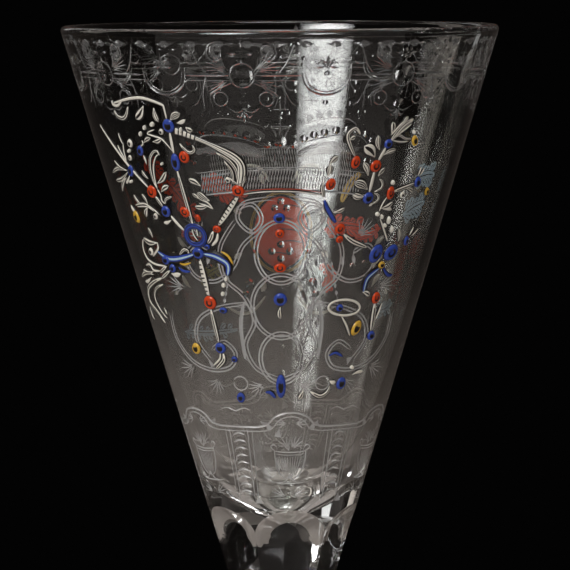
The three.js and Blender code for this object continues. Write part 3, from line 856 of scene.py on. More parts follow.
def vase(sheet, y):
    rim, waist = 3.2, 2.0
    line(sheet, [(-rim, y + 3.4), (0, y + 3.2), (rim, y + 3.4)], 0.16)
    line(sheet, [(-rim + 0.2, y + 2.8), (0, y + 2.6), (rim - 0.2, y + 2.8)], 0.11)
    for side in (-1, 1):
        line(sheet, mirrored(side, (rim, y + 3.4), (2.9, y + 0.8), (waist, y - 1.6), (0.8, y - 2.6)), 0.16)
        line(sheet, mirrored(side, (rim, y + 3.5), (4.0, y + 4.3), (3.4, y + 4.9), (2.8, y + 4.3)), 0.14)
        line(sheet, mirrored(side, (0.5, y - 2.7), (1.3, y - 3.4), (2.6, y - 3.6)), 0.15)
        leaf_fan(sheet, (side * 0.3, y + 3.9), 90 - side * 32, 60, 5, 3.0)
    line(sheet, [(-2.6, y - 3.7), (2.6, y - 3.7)], 0.16)
    for i in range(-4, 5):
        line(sheet, [(0.55 * i, y + 2.3), (0.3 * i, y - 1.9)], 0.1, 0.1, steps=3)
    for i in (-1, 0, 1):
        ball(sheet, 1.4 * i, y + 4.3 + (0.5 if i == 0 else 0), 0.5, 0.22)

# %% Pillars and arches


def pillar(sheet):
    top = PANEL_TOP
    narrowing = 1 - 0.012 * top
    for side in (-1, 1):
        line(sheet, [(side * 2.0, top - 0.8), (side * 2.0 * narrowing, 0.6)], 0.13, 0.14, steps=8, swell=0.2)
        line(sheet, [(side * 3.0, top - 0.8), (side * 2.9 * narrowing, 0.6)], 0.1, 0.12, steps=8, swell=0.2)
        ball(sheet, side * 1.9, top + 1.9, 1.2, 0.4)
    line(sheet, [(-3.2, top + 3.6), (-1.9, top + 4.1), (-0.2, top + 3.5), (0.2, top + 3.5), (1.9, top + 4.1),
                 (3.2, top + 3.6)], 0.16)
    for i in range(PILLAR_BARS):
        y = 1.3 + (top - 3.2) * i / (PILLAR_BARS - 1)
        line(sheet, [(-1.2, y), (-0.2, y + 0.55), (1.1, y + 0.2)], 0.24, 0.18, steps=3)
        ball(sheet, 0.75 if i % 2 else -0.75, y + 0.95, 0.3, 0.15)


def arch(sheet):
    top = PANEL_TOP
    for grow, half in ((0.0, TOP_LINE), (-0.9, 0.13)):
        wide = ARCH_HALF_WIDTH + grow
        bow = [(wide * math.sin(math.radians(a)), top + grow + ARCH_RISE * math.cos(math.radians(a)))
               for a in range(-70, 71, 14)]
        reach = wide + 1.6
        bow = [(-reach, top + grow), (-wide - 0.5, top + grow + 0.25)] + bow
        bow += [(wide + 0.5, top + grow + 0.25), (reach, top + grow)]
        line(sheet, bow, half, TOP_LINE_DEPTH, steps=2, swell=0.15)
    ball(sheet, 0, top + 0.9, 0.75, 0.3)
    for side in (-1, 1):
        leaf_fan(sheet, (side * 0.9, top + 0.7), 90 - side * 85, 60, 4, 2.3)


def panel_base(sheet):
    ball(sheet, 0, 0.9, 0.7, 0.28)
    for side in (-1, 1):
        leaf_fan(sheet, (side * 0.8, 0.6), 90 - side * 62, 46, 4, 3.0)

# %% The panels all the way round
for repeat in range(PANELS):
    centre = PANEL_TURN + PANEL_PITCH * repeat
    sheet = Stencil(centre, PANEL_FOOT)
    arch(sheet)
    vase(sheet, VASE_HEIGHT)
    panel_base(sheet)
    pillar(Stencil(centre + PANEL_PITCH / 2, PANEL_FOOT))
    degrees_per_mm = math.degrees(1 / wall_radius(PANEL_LINE))
    reach = (ARCH_HALF_WIDTH + 1.4) * degrees_per_mm
    along_band(centre + reach, centre + PANEL_PITCH - reach, PANEL_LINE, TOP_LINE, TOP_LINE_DEPTH)
    inner_reach = (ARCH_HALF_WIDTH + 0.6) * degrees_per_mm
    along_band(centre + inner_reach, centre + PANEL_PITCH - inner_reach, PANEL_LINE - 0.9, 0.12, 0.12)
print("cuts in all:", len(cuts))

# %% [markdown]
# ## The flutes
# Six flat cuts lean with the wall and meet in sharp edges. Each ends above in a round arch, and a bevel of
# 3 mm follows the arch and runs the flat face out to the wall, so that the arch shows as a double line.

# %% Flutes
FLUTES = 6
FLUTE_TURN = 7.0
FLUTE_SPRING = BOWL_BOTTOM + 17.5
FLUTE_RISE = 5.0
FLUTE_HALF = 180 / FLUTES
ARCH_FULLNESS = 0.65
ARCH_STEPS = 24
BEVEL = 3.0


def flute_offset(azimuth):
    """Degrees from the middle line of the nearest flute."""
    return (azimuth - FLUTE_TURN + FLUTE_HALF) % (2 * FLUTE_HALF) - FLUTE_HALF


def arch_height(off):
    return FLUTE_SPRING + FLUTE_RISE * max(0.0, 1 - (off / FLUTE_HALF) ** 2) ** ARCH_FULLNESS


ARCH_OFFSETS = [-FLUTE_HALF * math.cos(math.pi * i / ARCH_STEPS) for i in range(ARCH_STEPS + 1)]
arch_outline = [unroll(off, arch_height(off)) for off in ARCH_OFFSETS]

# %% Cutting the flutes and their bevels


def distance_to_arch(off, height):
    """Millimetres on the sheet from a place in a flute to its arch."""
    point = unroll(off, height)
    nearest = 1e9
    for start, end in zip(arch_outline, arch_outline[1:]):
        along = end - start
        t = max(0.0, min(1.0, (point - start).dot(along) / along.length_squared))
        nearest = min(nearest, (point - start - t * along).length)
    return nearest


def cut_radius(azimuth, height):
    """The wall's radius with the flutes taken away."""
    radius = wall_radius(height)
    off = flute_offset(azimuth)
    if height > arch_height(off):
        return radius
    face = radius * math.cos(math.radians(FLUTE_HALF)) / math.cos(math.radians(off))
    return radius - (radius - face) * min(1.0, distance_to_arch(off, height) / BEVEL)


def inner_arch():
    """The line where the bevel meets the flat face, as offsets from the middle line and heights."""
    places = []
    for i, point in enumerate(arch_outline):
        along = arch_outline[min(i + 1, ARCH_STEPS)] - arch_outline[max(i - 1, 0)]
        inwards = Vector((-along.y, along.x)).normalized()
        if inwards.dot(unroll(0, BOWL_BOTTOM) - point) < 0:
            inwards = -inwards
        places.append(roll(point + BEVEL * inwards))
    clear = [(off, height) for off, height in places
             if abs(off) < FLUTE_HALF - 0.5 and distance_to_arch(off, height) > BEVEL - 0.03]
    foot = clear[-1]
    for step in range(1, 4):
        share = step / 3
        down = FLUTE_SPRING - BEVEL * math.cos(TILT) * share
        clear.append((foot[0] + (FLUTE_HALF - 0.6 - foot[0]) * share, min(foot[1], down)))
        clear.insert(0, (-clear[-1][0], clear[-1][1]))
    return clear


print("inner arch:", [(round(off, 1), round(height, 1)) for off, height in inner_arch()][::4])

# %% [markdown]
# ## Carving the drawing into the bowl
# The sheet's outlines and middle lines, the flutes' edges and a net of plain points are joined into one
# net of triangles that respects every line. Points inside a cut are then sunk to its depth, and the
# triangles there get the matt or the polished finish. That is real carving, not a bump.

# %% Collect the points and lines of the sheet
sheet_points = []
sheet_edges = []
COLUMNS = 144
BASE_COLUMNS = 60
NET_SPACING = 1.6
FINE_SPACING = 0.8
SEAM_MARGIN = 12
SEAM_STEPS = 80
FLUTE_EDGE_STEPS = 8
LENS_SIDES_PER_MM = 14


def add_chain(points, closed=False):
    first = len(sheet_points)
    sheet_points.extend(points)
    count = len(points)
    sheet_edges.extend((first + i, first + (i + 1) % count) for i in range(count if closed else count - 1))


def turned_by(point, azimuth):
    angle = math.radians(azimuth) * SPREAD
    c, s = math.cos(angle), math.sin(angle)
    return Vector((point.x * c - point.y * s, point.x * s + point.y * c))


def sides_of(cut):
    points, halves = cut["points"], cut["halves"]
    count = len(points)
    left, right = [], []
    for i, point in enumerate(points):
        if cut["closed"]:
            before, after = points[i - 1], points[(i + 1) % count]
        else:
            before, after = points[max(i - 1, 0)], points[min(i + 1, count - 1)]
        along = (after - before).normalized()
        normal = Vector((-along.y, along.x)) * halves[i]
        left.append(point + normal)
        right.append(point - normal)
    return left, right


def copies_in_sheet(azimuths):
    """A drawing close to the seam is needed on both sides of it."""
    shifts = [0.0]
    if max(azimuths) > SEAM - SEAM_MARGIN:
        shifts.append(-360.0)
    if min(azimuths) < SEAM - 360 + SEAM_MARGIN:
        shifts.append(360.0)
    return shifts

# %% Collect the cuts
segments = []
balls = []
for cut in cuts:
    if "ball" in cut:
        azimuth = roll(cut["ball"])[0]
        for shift in copies_in_sheet([azimuth]):
            centre = turned_by(cut["ball"], shift)
            radius = cut["radius"]
            balls.append((centre, radius, cut["depth"]))
            sides = max(10, min(28, int(radius * LENS_SIDES_PER_MM)))
            turns = [2 * math.pi * i / sides for i in range(sides)]
            for share in ((1.0, 0.5) if radius < 1 else (1.0, 0.7, 0.35)):
                add_chain([centre + share * radius * Vector((math.cos(t), math.sin(t))) for t in turns], closed=True)
            sheet_points.append(centre.copy())
        continue
    azimuths = [roll(point)[0] for point in cut["points"]]
    left, right = sides_of(cut)
    for shift in copies_in_sheet(azimuths):
        middle = [turned_by(p, shift) for p in cut["points"]]
        a = [turned_by(p, shift) for p in left]
        b = [turned_by(p, shift) for p in right]
        add_chain(middle, cut["closed"])
        if cut["closed"]:
            add_chain(a, True)
            add_chain(b, True)
        else:
            add_chain(a + b[::-1], True)
        pairs = list(zip(range(len(middle)), list(range(1, len(middle))) + [0]))
        for i, j in pairs if cut["closed"] else pairs[:-1]:
            segments.append((middle[i], middle[j], cut["halves"][i], cut["halves"][j],
                             cut["depths"][i], cut["depths"][j]))

# %% Collect the edges of the flutes
SHEET_TOP = LIP_CENTRE
flute_top = FLUTE_SPRING + FLUTE_RISE
for flute in range(FLUTES):
    middle = FLUTE_TURN + 2 * FLUTE_HALF * flute
    arch_line = [(middle + off, arch_height(off)) for off in ARCH_OFFSETS]
    bevel_line = [(middle + off, height) for off, height in inner_arch()]
    edge_line = [(middle + FLUTE_HALF, BOWL_BOTTOM + (FLUTE_SPRING - BOWL_BOTTOM) * i / FLUTE_EDGE_STEPS)
                 for i in range(FLUTE_EDGE_STEPS + 1)]
    for shift in (-360.0, 0.0):
        for track in (arch_line, bevel_line, edge_line):
            add_chain([unroll(azimuth + shift, height) for azimuth, height in track])

# %% [markdown]
# The seam runs down the back. Every line that crosses it is drawn on both sides, so both edges of the
# sheet get the same points, and they can be welded when the sheet is rolled up.

# %% Seam, rings and the plain net
for side in (0.0, -360.0):
    add_chain([unroll(SEAM + side, BOWL_BOTTOM + (SHEET_TOP - BOWL_BOTTOM) * i / SEAM_STEPS)
               for i in range(SEAM_STEPS + 1)])
add_chain([unroll(SEAM - 360 * i / COLUMNS, SHEET_TOP) for i in range(COLUMNS + 1)])
add_chain([unroll(SEAM - 360 * i / BASE_COLUMNS, BOWL_BOTTOM) for i in range(BASE_COLUMNS + 1)])

fine_rows = int((flute_top + 1 - BOWL_BOTTOM) / FINE_SPACING)
plain_rows = int((SHEET_TOP - flute_top - 1) / NET_SPACING)
net_heights = [BOWL_BOTTOM + FINE_SPACING * row for row in range(1, fine_rows)]
net_heights += [SHEET_TOP - NET_SPACING * row for row in range(1, plain_rows + 1)]
for row, height in enumerate(net_heights):
    spacing = FINE_SPACING if height < flute_top + 1 else NET_SPACING
    columns = max(BASE_COLUMNS, int(2 * math.pi * wall_radius(height) / (spacing * 1.25)))
    for column in range(columns):
        sheet_points.append(unroll(SEAM - 360 * (column + 0.3 + 0.4 * (row % 2)) / columns, height))

flat_net = delaunay_2d_cdt([Vector(p) for p in sheet_points], sheet_edges, [], 0, 1e-4, False)
net_points, net_faces = flat_net[0], flat_net[2]
print("sheet:", len(sheet_points), "points,", len(net_faces), "triangles before trimming")

# %% Sink each point by the deepest cut over it
CELL = 2.0
# A point on a cut's outline stays at the surface. A cut reaches past its ends by this share of a step.
LENS_OUTLINE = 0.999
CUT_OUTLINE = 0.97
PAST_END = 0.2
cells = {}


def cell_range(low, high):
    return range(int(math.floor(low / CELL)), int(math.floor(high / CELL)) + 1)


def remember(item, centre_low, centre_high):
    for i in cell_range(centre_low.x, centre_high.x):
        for j in cell_range(centre_low.y, centre_high.y):
            cells.setdefault((i, j), []).append(item)


for start, end, half_a, half_b, depth_a, depth_b in segments:
    margin = max(half_a, half_b)
    low = Vector((min(start.x, end.x) - margin, min(start.y, end.y) - margin))
    high = Vector((max(start.x, end.x) + margin, max(start.y, end.y) + margin))
    remember((start, end, half_a, half_b, depth_a, depth_b), low, high)
for centre, radius, depth in balls:
    reach = Vector((radius, radius))
    remember((centre, radius, depth), centre - reach, centre + reach)


def depth_at(point):
    """How deep the wheel went here, and whether a polished lens was the deepest cut."""
    deepest, polished = 0.0, False
    for item in cells.get((int(math.floor(point.x / CELL)), int(math.floor(point.y / CELL))), ()):
        if len(item) == 3:
            centre, radius, full = item
            share = (point - centre).length / radius
            depth = full * (1 - share ** 2) if share < LENS_OUTLINE else 0.0
            if depth > deepest:
                deepest, polished = depth, True
            continue
        start, end, half_a, half_b, depth_a, depth_b = item
        along = end - start
        t = (point - start).dot(along) / max(along.length_squared, 1e-9)
        if t < -PAST_END or t > 1 + PAST_END:
            continue
        t = max(0.0, min(1.0, t))
        half = half_a + (half_b - half_a) * t
        off = (point - start - along * t).length
        if off < CUT_OUTLINE * half:
            depth = (depth_a + (depth_b - depth_a) * t) * (1 - off / half)
            if depth > deepest:
                deepest, polished = depth, False
    return deepest, polished


depths = [depth_at(point) for point in net_points]
places = [roll(point) for point in net_points]

# %% Roll the sheet up
EDGE_SLACK = 1e-3
FLUTE_FADE = FLUTE_SPRING - BEVEL
PLAIN, CUT, LENS, INSIDE, BAND, FLUTE, MATT = range(7)
# Cuts below this height, just above the coronet's circlet, were left matt
MATT_BELOW = 179.0
bowl_vertices = []
bowl_faces = []
bowl_finish = []
for (azimuth, height), (depth, _) in zip(places, depths):
    if height > flute_top:
        bowl_vertices.append(on_wall(azimuth, height, -depth))
    else:
        bowl_vertices.append(around(math.radians(azimuth), cut_radius(azimuth, height), height))

for face in net_faces:
    middle = sum((net_points[i] for i in face), Vector((0.0, 0.0))) / 3
    azimuth, height = roll(middle)
    if not (SEAM - 360 < azimuth < SEAM and BOWL_BOTTOM < height < SHEET_TOP):
        continue
    deepest, polished = max(depths[i] for i in face)
    bowl_faces.append(tuple(face))
    off = flute_offset(azimuth)
    if height < arch_height(off):
        bowl_finish.append(BAND if distance_to_arch(off, height) < BEVEL and height > FLUTE_FADE else FLUTE)
    else:
        wheel_finish = CUT if height > MATT_BELOW else MATT
        bowl_finish.append(PLAIN if deepest < EDGE_SLACK else LENS if polished else wheel_finish)

# %% [markdown]
# ## Lip, cavity and base
# The gaffer opened the hot bowl with wooden jacks and melted its lip round in the fire. The lip is an arc, the
# cavity narrows to a rounded tip over a thick floor, and the base closes the bowl down to its collar.

# %% Lip and cavity


def inner_radius(height):
    share = (height - CAVITY_BOTTOM) / (LIP_CENTRE - CAVITY_BOTTOM)
    floor_radius = wall_radius(CAVITY_BOTTOM)
    return wall_radius(height) - RIM_WALL - (floor_radius - RIM_WALL) * (1 - share) ** WALL_THICKENING


LIP_STEPS = 12
lip = arc_points(RIM_RADIUS - LIP_RADIUS, LIP_CENTRE, LIP_RADIUS, 0, 180, LIP_STEPS)
cavity = []
CAVITY_STEPS = 40
CAVITY_CROWDING = 1.8
tip_widening = SLOPE + WALL_THICKENING * (wall_radius(CAVITY_BOTTOM) - RIM_WALL) / (LIP_CENTRE - CAVITY_BOTTOM)
TIP_SLOPE = math.atan(tip_widening)
TIP_ROUND = 7.0
tip_centre = CAVITY_BOTTOM + TIP_ROUND / math.sin(TIP_SLOPE)
tip_joint = tip_centre - TIP_ROUND * math.sin(TIP_SLOPE)
for step in range(1, CAVITY_STEPS):
    share = (1 - step / CAVITY_STEPS) ** CAVITY_CROWDING
    height = tip_joint + share * (LIP_CENTRE - tip_joint)
    cavity.append((inner_radius(height), height))
cavity += arc_points(0.0, tip_centre, TIP_ROUND, -90 + math.degrees(TIP_SLOPE) - 4, -86, 7)

first = len(bowl_vertices)
inside_start = len(bowl_faces)
inside_rows = lip + cavity
for radius, height in inside_rows:
    for column in range(COLUMNS):
        bowl_vertices.append(around(math.radians(SEAM - 360 * column / COLUMNS), radius, height))
for row in range(len(inside_rows) - 1):
    for column in range(COLUMNS):
        beside = (column + 1) % COLUMNS
        a, b = first + row * COLUMNS, first + (row + 1) * COLUMNS
        bowl_faces.append((a + column, b + column, b + beside, a + beside))
tip = len(bowl_vertices)
bowl_vertices.append(Vector((0.0, 0.0, tip_centre - TIP_ROUND)))
last = first + (len(inside_rows) - 1) * COLUMNS
for column in range(COLUMNS):
    bowl_faces.append((last + column, tip, last + (column + 1) % COLUMNS))

# %% Base
base_ring = len(bowl_vertices)
for column in range(BASE_COLUMNS):
    azimuth = SEAM - 360 * column / BASE_COLUMNS
    radius = cut_radius(azimuth, BOWL_BOTTOM)
    for height in (BOWL_BOTTOM, BOWL_BOTTOM - OVERLAP):
        bowl_vertices.append(around(math.radians(azimuth), radius, height))
base_centre = len(bowl_vertices)
bowl_vertices.append(Vector((0.0, 0.0, BOWL_BOTTOM - OVERLAP)))
for column in range(BASE_COLUMNS):
    beside = (column + 1) % BASE_COLUMNS
    a, b = base_ring + 2 * column, base_ring + 2 * beside
    bowl_faces.append((a, b, b + 1, a + 1))
    bowl_faces.append((a + 1, b + 1, base_centre))
bowl_finish += [FLUTE] * (len(bowl_faces) - len(bowl_finish))
for face in range(inside_start, inside_start + len(inside_rows) * COLUMNS):
    bowl_finish[face] = INSIDE

# %% Join the mesh and give each face its finish
FINISHES = (polished_glass, cut_glass, inner_painted_light, outer_painted_light, bevel_painted_light, matt_cut_glass)
FINISH_OF_KIND = {PLAIN: 3, CUT: 1, LENS: 3, INSIDE: 2, BAND: 4, FLUTE: 0, MATT: 5}
form = bmesh.new()
kind_layer = form.faces.layers.int.new("kind")
made = [form.verts.new(v * MM) for v in bowl_vertices]
for face, kind in zip(bowl_faces, bowl_finish):
    made_face = form.faces.new([made[i] for i in face])
    made_face[kind_layer] = kind
    made_face.material_index = FINISH_OF_KIND[kind]
    made_face.smooth = True
bmesh.ops.delete(form, geom=[v for v in form.verts if not v.link_faces], context="VERTS")
bmesh.ops.remove_doubles(form, verts=form.verts, dist=EDGE_SLACK * MM)
# Where a line ends on the seam or on the rim of the base, a sliver stays open, and it is filled
slivers = [edge for edge in form.edges if len(edge.link_faces) == 1]
for filled in bmesh.ops.holes_fill(form, edges=slivers, sides=0)["faces"]:
    filled.material_index = FINISH_OF_KIND[PLAIN]
    filled.smooth = True
bmesh.ops.recalc_face_normals(form, faces=form.faces)
open_edges = sum(1 for edge in form.edges if len(edge.link_faces) != 2)
SHARP_ANGLE = math.radians(40)
for edge in form.edges:
    one, other = edge.link_faces[0], edge.link_faces[-1]
    if one[kind_layer] != other[kind_layer] or edge.calc_face_angle(0.0) > SHARP_ANGLE:
        edge.smooth = False
mesh = bpy.data.meshes.new("bowl_glass")
form.to_mesh(mesh)
form.free()

# %% [markdown]
# The plain wall between the cuts is a true cone. Its triangles are uneven, so their corners are given the
# cone's own direction, and reflections run over them without a ripple. The corners on an arch get it too,
# on both sides of the edge, because the polisher's felt wheel rounds that edge a little.

# %% True directions on the plain wall
ON_CONE = 0.02


def lies_on_cone(corner):
    return abs(Vector((corner.x, corner.y)).length / MM - wall_radius(corner.z / MM)) < ON_CONE


directions = [Vector(normal.vector) for normal in mesh.corner_normals]
kinds = mesh.attributes["kind"].data
for polygon in mesh.polygons:
    if kinds[polygon.index].value not in (PLAIN, BAND, FLUTE):
        continue
    corners = [mesh.vertices[i].co for i in polygon.vertices]
    on_cone = all(lies_on_cone(c) for c in corners)
    centre = polygon.center
    azimuth = math.degrees(math.atan2(centre.x, -centre.y))
    above_flutes = centre.z / MM > arch_height(flute_offset(azimuth))
    for loop, corner in zip(polygon.loop_indices, corners):
        on_arch = lies_on_cone(corner) and corner.z > (FLUTE_SPRING + 0.2) * MM
        if (on_cone and above_flutes) or on_arch:
            outward = Vector((corner.x, corner.y, 0)).normalized()
            directions[loop] = Vector((outward.x * math.cos(TILT), outward.y * math.cos(TILT), -math.sin(TILT)))
mesh.normals_split_custom_set(directions)
for finish in FINISHES:
    mesh.materials.append(finish)
bowl = new_object("bowl_glass", mesh)
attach(bowl, "root")
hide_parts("bowl")
in_border = sum(1 for p in mesh.polygons if p.material_index == FINISH_OF_KIND[CUT])
print("bowl faces:", len(mesh.polygons), "in the border's cuts:", in_border, "open edges:", open_edges)

# %% [markdown]
# ## Painting with enamel
# The enameller works with three touches: a round drop, a stroke that swells and thins, and a leaf that is
# pressed at its tip. On top go hair lines of black. Places are given as the painter would measure them:
# millimetres to the right of a spray's middle line, and millimetres below the rim.

# %% Touches of the brush
SEAT = -0.03
DROP_RISE = 0.55
STROKE_RISE = 0.3
# Black strokes laid under others are flatter. Under the white strokes they are painted shade.
BLACK_UNDERLAY_RISE = 0.1
ROUND_TIP = 0.4
# A drop's rings from its outline to its dimple: share of its width, share of its rise
DROP_CROWN = ((1.0, 0.0), (0.97, 0.4), (0.82, 0.8), (0.66, 0.98), (0.52, 1.0), (0.28, 0.8), (0.12, 0.7))
# A stroke is nine strips wide. Its edges are shares of its width, and each style names its black strips.
STROKE_EDGES = (-0.5, -0.4, -0.28, -0.14, -0.07, 0.07, 0.14, 0.28, 0.4, 0.5)
HAIR_LINES = {"plain": (0, 8), "edged": (0, 3, 4, 5, 8), "two": (0, 2, 6, 8), "three": (0, 2, 4, 6, 8),
              "ribbon": (0, 1, 7, 8), "wash": (4, 8), "ladder": (0, 8), "feather": (0, 8)}


def on_glass(azimuth, across, down, lift):
    height = RIM_TOP - down
    return on_wall(azimuth + math.degrees(across / wall_radius(height)), height, lift)

# %% One store of paint for each piece


class Paint:
    """The touches that become one piece: its corners, its faces and the colour of each face."""

    def __init__(self, azimuth):
        self.azimuth = azimuth
        self.corners = []
        self.faces = []
        self.colours = []

    def place(self, across, down, lift):
        self.corners.append(on_glass(self.azimuth, across, down, lift))
        return len(self.corners) - 1

    def face(self, corners, colour):
        self.faces.append(tuple(corners))
        self.colours.append(colour)

    def piece(self, name, slot, *nodes):
        used = sorted(set(self.colours))
        piece = new_piece(name, self.corners, self.faces, [ENAMELS[c] for c in used],
                          face_materials=[used.index(c) for c in self.colours])
        if nodes:
            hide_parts(*nodes)
        return piece

# %% Drops


def drop(paint, across, down, width, height, tilt=0.0, colour="white", rise=DROP_RISE, lined=True, open_loop=False):
    """A round or oval drop. A lined one has a black outline and a black loop round its dimple."""
    dark_centre = colour != "red" and not open_loop
    sides = max(12, min(24, int(8 * max(width, height))))
    c, s = math.cos(math.radians(tilt)), math.sin(math.radians(tilt))

    def ring_of_places(share, lift):
        places = []
        for i in range(sides):
            angle = 2 * math.pi * i / sides
            x, y = share * width / 2 * math.cos(angle), share * height / 2 * math.sin(angle)
            places.append(paint.place(across + x * c - y * s, down + x * s + y * c, lift))
        return places

    rings = [ring_of_places(1.0, SEAT)] + [ring_of_places(share, rise * level) for share, level in DROP_CROWN]
    for level, (lower, upper) in enumerate(zip(rings, rings[1:])):
        for i in range(sides):
            j = (i + 1) % sides
            loop = level == 5 and not 0.62 < i / sides < 0.84
            black = lined and (level <= 1 or loop or (level == 6 and dark_centre))
            paint.face((lower[i], upper[i], upper[j], lower[j]), "black" if black else colour)
    paint.face(rings[-1][::-1], "black" if lined and dark_centre else colour)
    paint.face(rings[0], colour)

# %% [markdown]
# ## Strokes
# A brush stroke is a ribbon of paste that swells and thins. It is built from cross sections along a smooth
# line. Each has ten corners, so the black hair lines are strips of the stroke itself and stay sharp.

# %% Strokes


def full_stroke(t):
    return 0.35 + 0.65 * math.sqrt(math.sin(math.pi * t))


def full_feather(t):
    """Wide at its start, narrow in its first third and wide again before its tip."""
    return 0.42 + 0.33 * max(0.0, 1 - t / 0.3) + 0.58 * math.sin(math.pi * max(0.0, min(1.0, (t - 0.4) / 0.85)))


def full_leaf(t):
    """Thin at the stalk and round at the tip."""
    if t > 1 - ROUND_TIP:
        return max(0.12, math.sqrt(max(0.0, 1 - ((t - 1 + ROUND_TIP) / ROUND_TIP) ** 2)))
    return 0.14 + 0.86 * math.sin(math.pi / 2 * t / (1 - ROUND_TIP)) ** 1.3


def even_path(places, spacing):
    """Points at even distances along a smooth curve through the places."""
    dense = smooth_through(places, 12) if len(places) > 2 else evenly(places, 8)
    lengths = [0.0]
    for before, here in zip(dense, dense[1:]):
        lengths.append(lengths[-1] + (here - before).length)
    count = max(4, int(round(lengths[-1] / spacing)))
    path, step = [], 0
    for i in range(count + 1):
        goal = lengths[-1] * i / count
        while step < len(dense) - 2 and lengths[step + 1] < goal:
            step += 1
        span = max(lengths[step + 1] - lengths[step], 1e-9)
        path.append(dense[step].lerp(dense[step + 1], (goal - lengths[step]) / span))
    return path


def stroke(paint, places, width, colour="white", style="plain", rise=STROKE_RISE, full=full_stroke,
           closed=False, inner="blue", through=False, seat=SEAT, painted_shade_margin=0.0):
    """A stroke of enamel along the places, with its black hair lines. Thin washes show them right through.
    With a margin of painted shade it lies on a flatter black stroke that much wider: painted shade along its sides."""
    if painted_shade_margin:
        stroke(paint, places, width + painted_shade_margin, "black", rise=BLACK_UNDERLAY_RISE, full=full, closed=closed)
    spacing = 0.3 if style in ("ladder", "feather") else max(0.45, width * 0.18)
    path = even_path(places, spacing)
    if closed:
        path = path[:-1]
    count = len(path)
    sections, unders = [], []
    for i, centre in enumerate(path):
        t = i / (count - 1)
        before = path[i - 1] if closed or i > 0 else centre
        after = path[(i + 1) % count] if closed or i < count - 1 else centre
        along = (after - before).normalized()
        side = Vector((-along.y, along.x))
        fullness = 1.0 if closed else full(t)
        row = []
        for share in STROKE_EDGES:
            lift = seat if abs(share) == 0.5 else rise * (0.4 + 0.6 * fullness) * (1 - 3.4 * share ** 2) ** 0.5
            spot = centre + side * share * width * fullness
            row.append(paint.place(spot.x, spot.y, lift))
        sections.append(row)
        if through:
            inner_spots = [centre + side * share * width * fullness for share in STROKE_EDGES[1:-1]]
            unders.append([row[0]] + [paint.place(p.x, p.y, seat) for p in inner_spots] + [row[-1]])
    strips = len(STROKE_EDGES) - 1
    for i in range(count if closed else count - 1):
        t = i / count
        a, b = sections[i], sections[(i + 1) % count]
        for strip in range(strips):
            shade = colour
            outline = strip in (0, 8)
            lined = strip in HAIR_LINES[style] and (closed or outline or style == "ribbon" or 0.1 < t < 0.86)
            rib = style == "ladder" and strip >= 3 and i % 3 == 0
            feathered = style == "feather" and ((t < 0.24 and i % 3 == 0) or (t >= 0.24 and strip in (2, 5, 7)))
            if lined or rib or feathered:
                shade = "black"
            elif style == "ribbon" and strip in (3, 4):
                shade = inner
            paint.face((a[strip], b[strip], b[strip + 1], a[strip + 1]), shade)
            if through:
                paint.face((unders[i][strip], unders[i][strip + 1], unders[(i + 1) % count][strip + 1],
                            unders[(i + 1) % count][strip]), shade)
        if not through:
            paint.face((a[0], a[-1], b[-1], b[0]), colour)
    if not closed:
        for end in (0, -1):
            end_face = sections[end] + (unders[end][-2:0:-1] if through else [])
            paint.face(end_face if end == 0 else end_face[::-1], colour)

# %% Leaves and fronds
LEAF_STYLES = ("plain", "edged", "two", "three", "wash")
LOBE_LENGTH = 0.62
LOBE_UNEVENNESS = 0.16
LOBE_WIDTH = 0.52


def leaf(paint, x0, y0, x1, y1, width, lines=1, colour="white", bend=0.08, through=False, painted_shade_margin=0.0):
    """A leaf from its stalk to its round tip, bent a little to one side."""
    start, tip = Vector((x0, y0)), Vector((x1, y1))
    along = tip - start
    middle = start + 0.5 * along + bend * Vector((-along.y, along.x))
    stroke(paint, [start, middle, tip], width, colour, LEAF_STYLES[lines], full=full_leaf, through=through,
           painted_shade_margin=painted_shade_margin)


def frond(paint, places, width, colour, lobes):
    """A ragged acanthus leaf: a rib with lobes that spring from it by turns and lean towards its tip."""
    path = even_path(places, 0.4)
    stroke(paint, places, 0.5 * width, colour, "wash", rise=0.35, through=True)
    for lobe in range(2 * lobes):
        here = int((0.06 + 0.88 * (lobe // 2 + 0.5 * (lobe % 2)) / lobes) * (len(path) - 2))
        along = (path[here + 1] - path[here]).normalized()
        hand = 1 if lobe % 2 else -1
        out = Vector((-along.y, along.x)) * hand
        length = width * (LOBE_LENGTH + LOBE_UNEVENNESS * math.sin(2.4 * lobe))
        base = path[here] + 0.1 * width * out
        tip = base + length * (0.75 * along + 0.66 * out)
        leaf(paint, base.x, base.y, tip.x, tip.y, LOBE_WIDTH * width, 4, colour, 0.1 * hand, through=True)


def oval(across, down, width, height, tilt=0.0, count=16):
    c, s = math.cos(math.radians(tilt)), math.sin(math.radians(tilt))
    places = []
    for i in range(count + 1):
        angle = 2 * math.pi * i / count
        x, y = width / 2 * math.cos(angle), height / 2 * math.sin(angle)
        places.append((across + x * c - y * s, down + x * s + y * c))
    return places


# %% [markdown]
# ## Beads and stems
# The large touches are the ones that the frame names. Each becomes one piece that takes its node's place.
# A bead row is: name, right, down, width, height, colour. A stem row is: name, width, colour, style, places.

# %% Large touches of the two sprays and the front
SLOTS = {"white": "white_enamel", "red": "red_enamel", "red_wash": "red_enamel", "blue": "blue_enamel",
         "yellow": "yellow_enamel", "pale": "pale_blue_enamel", "olive": "olive_enamel"}
LEFT_AT, RIGHT_AT, FRONT_AT, BACK_AT = -31.4, 40.2, -0.3, 180.0

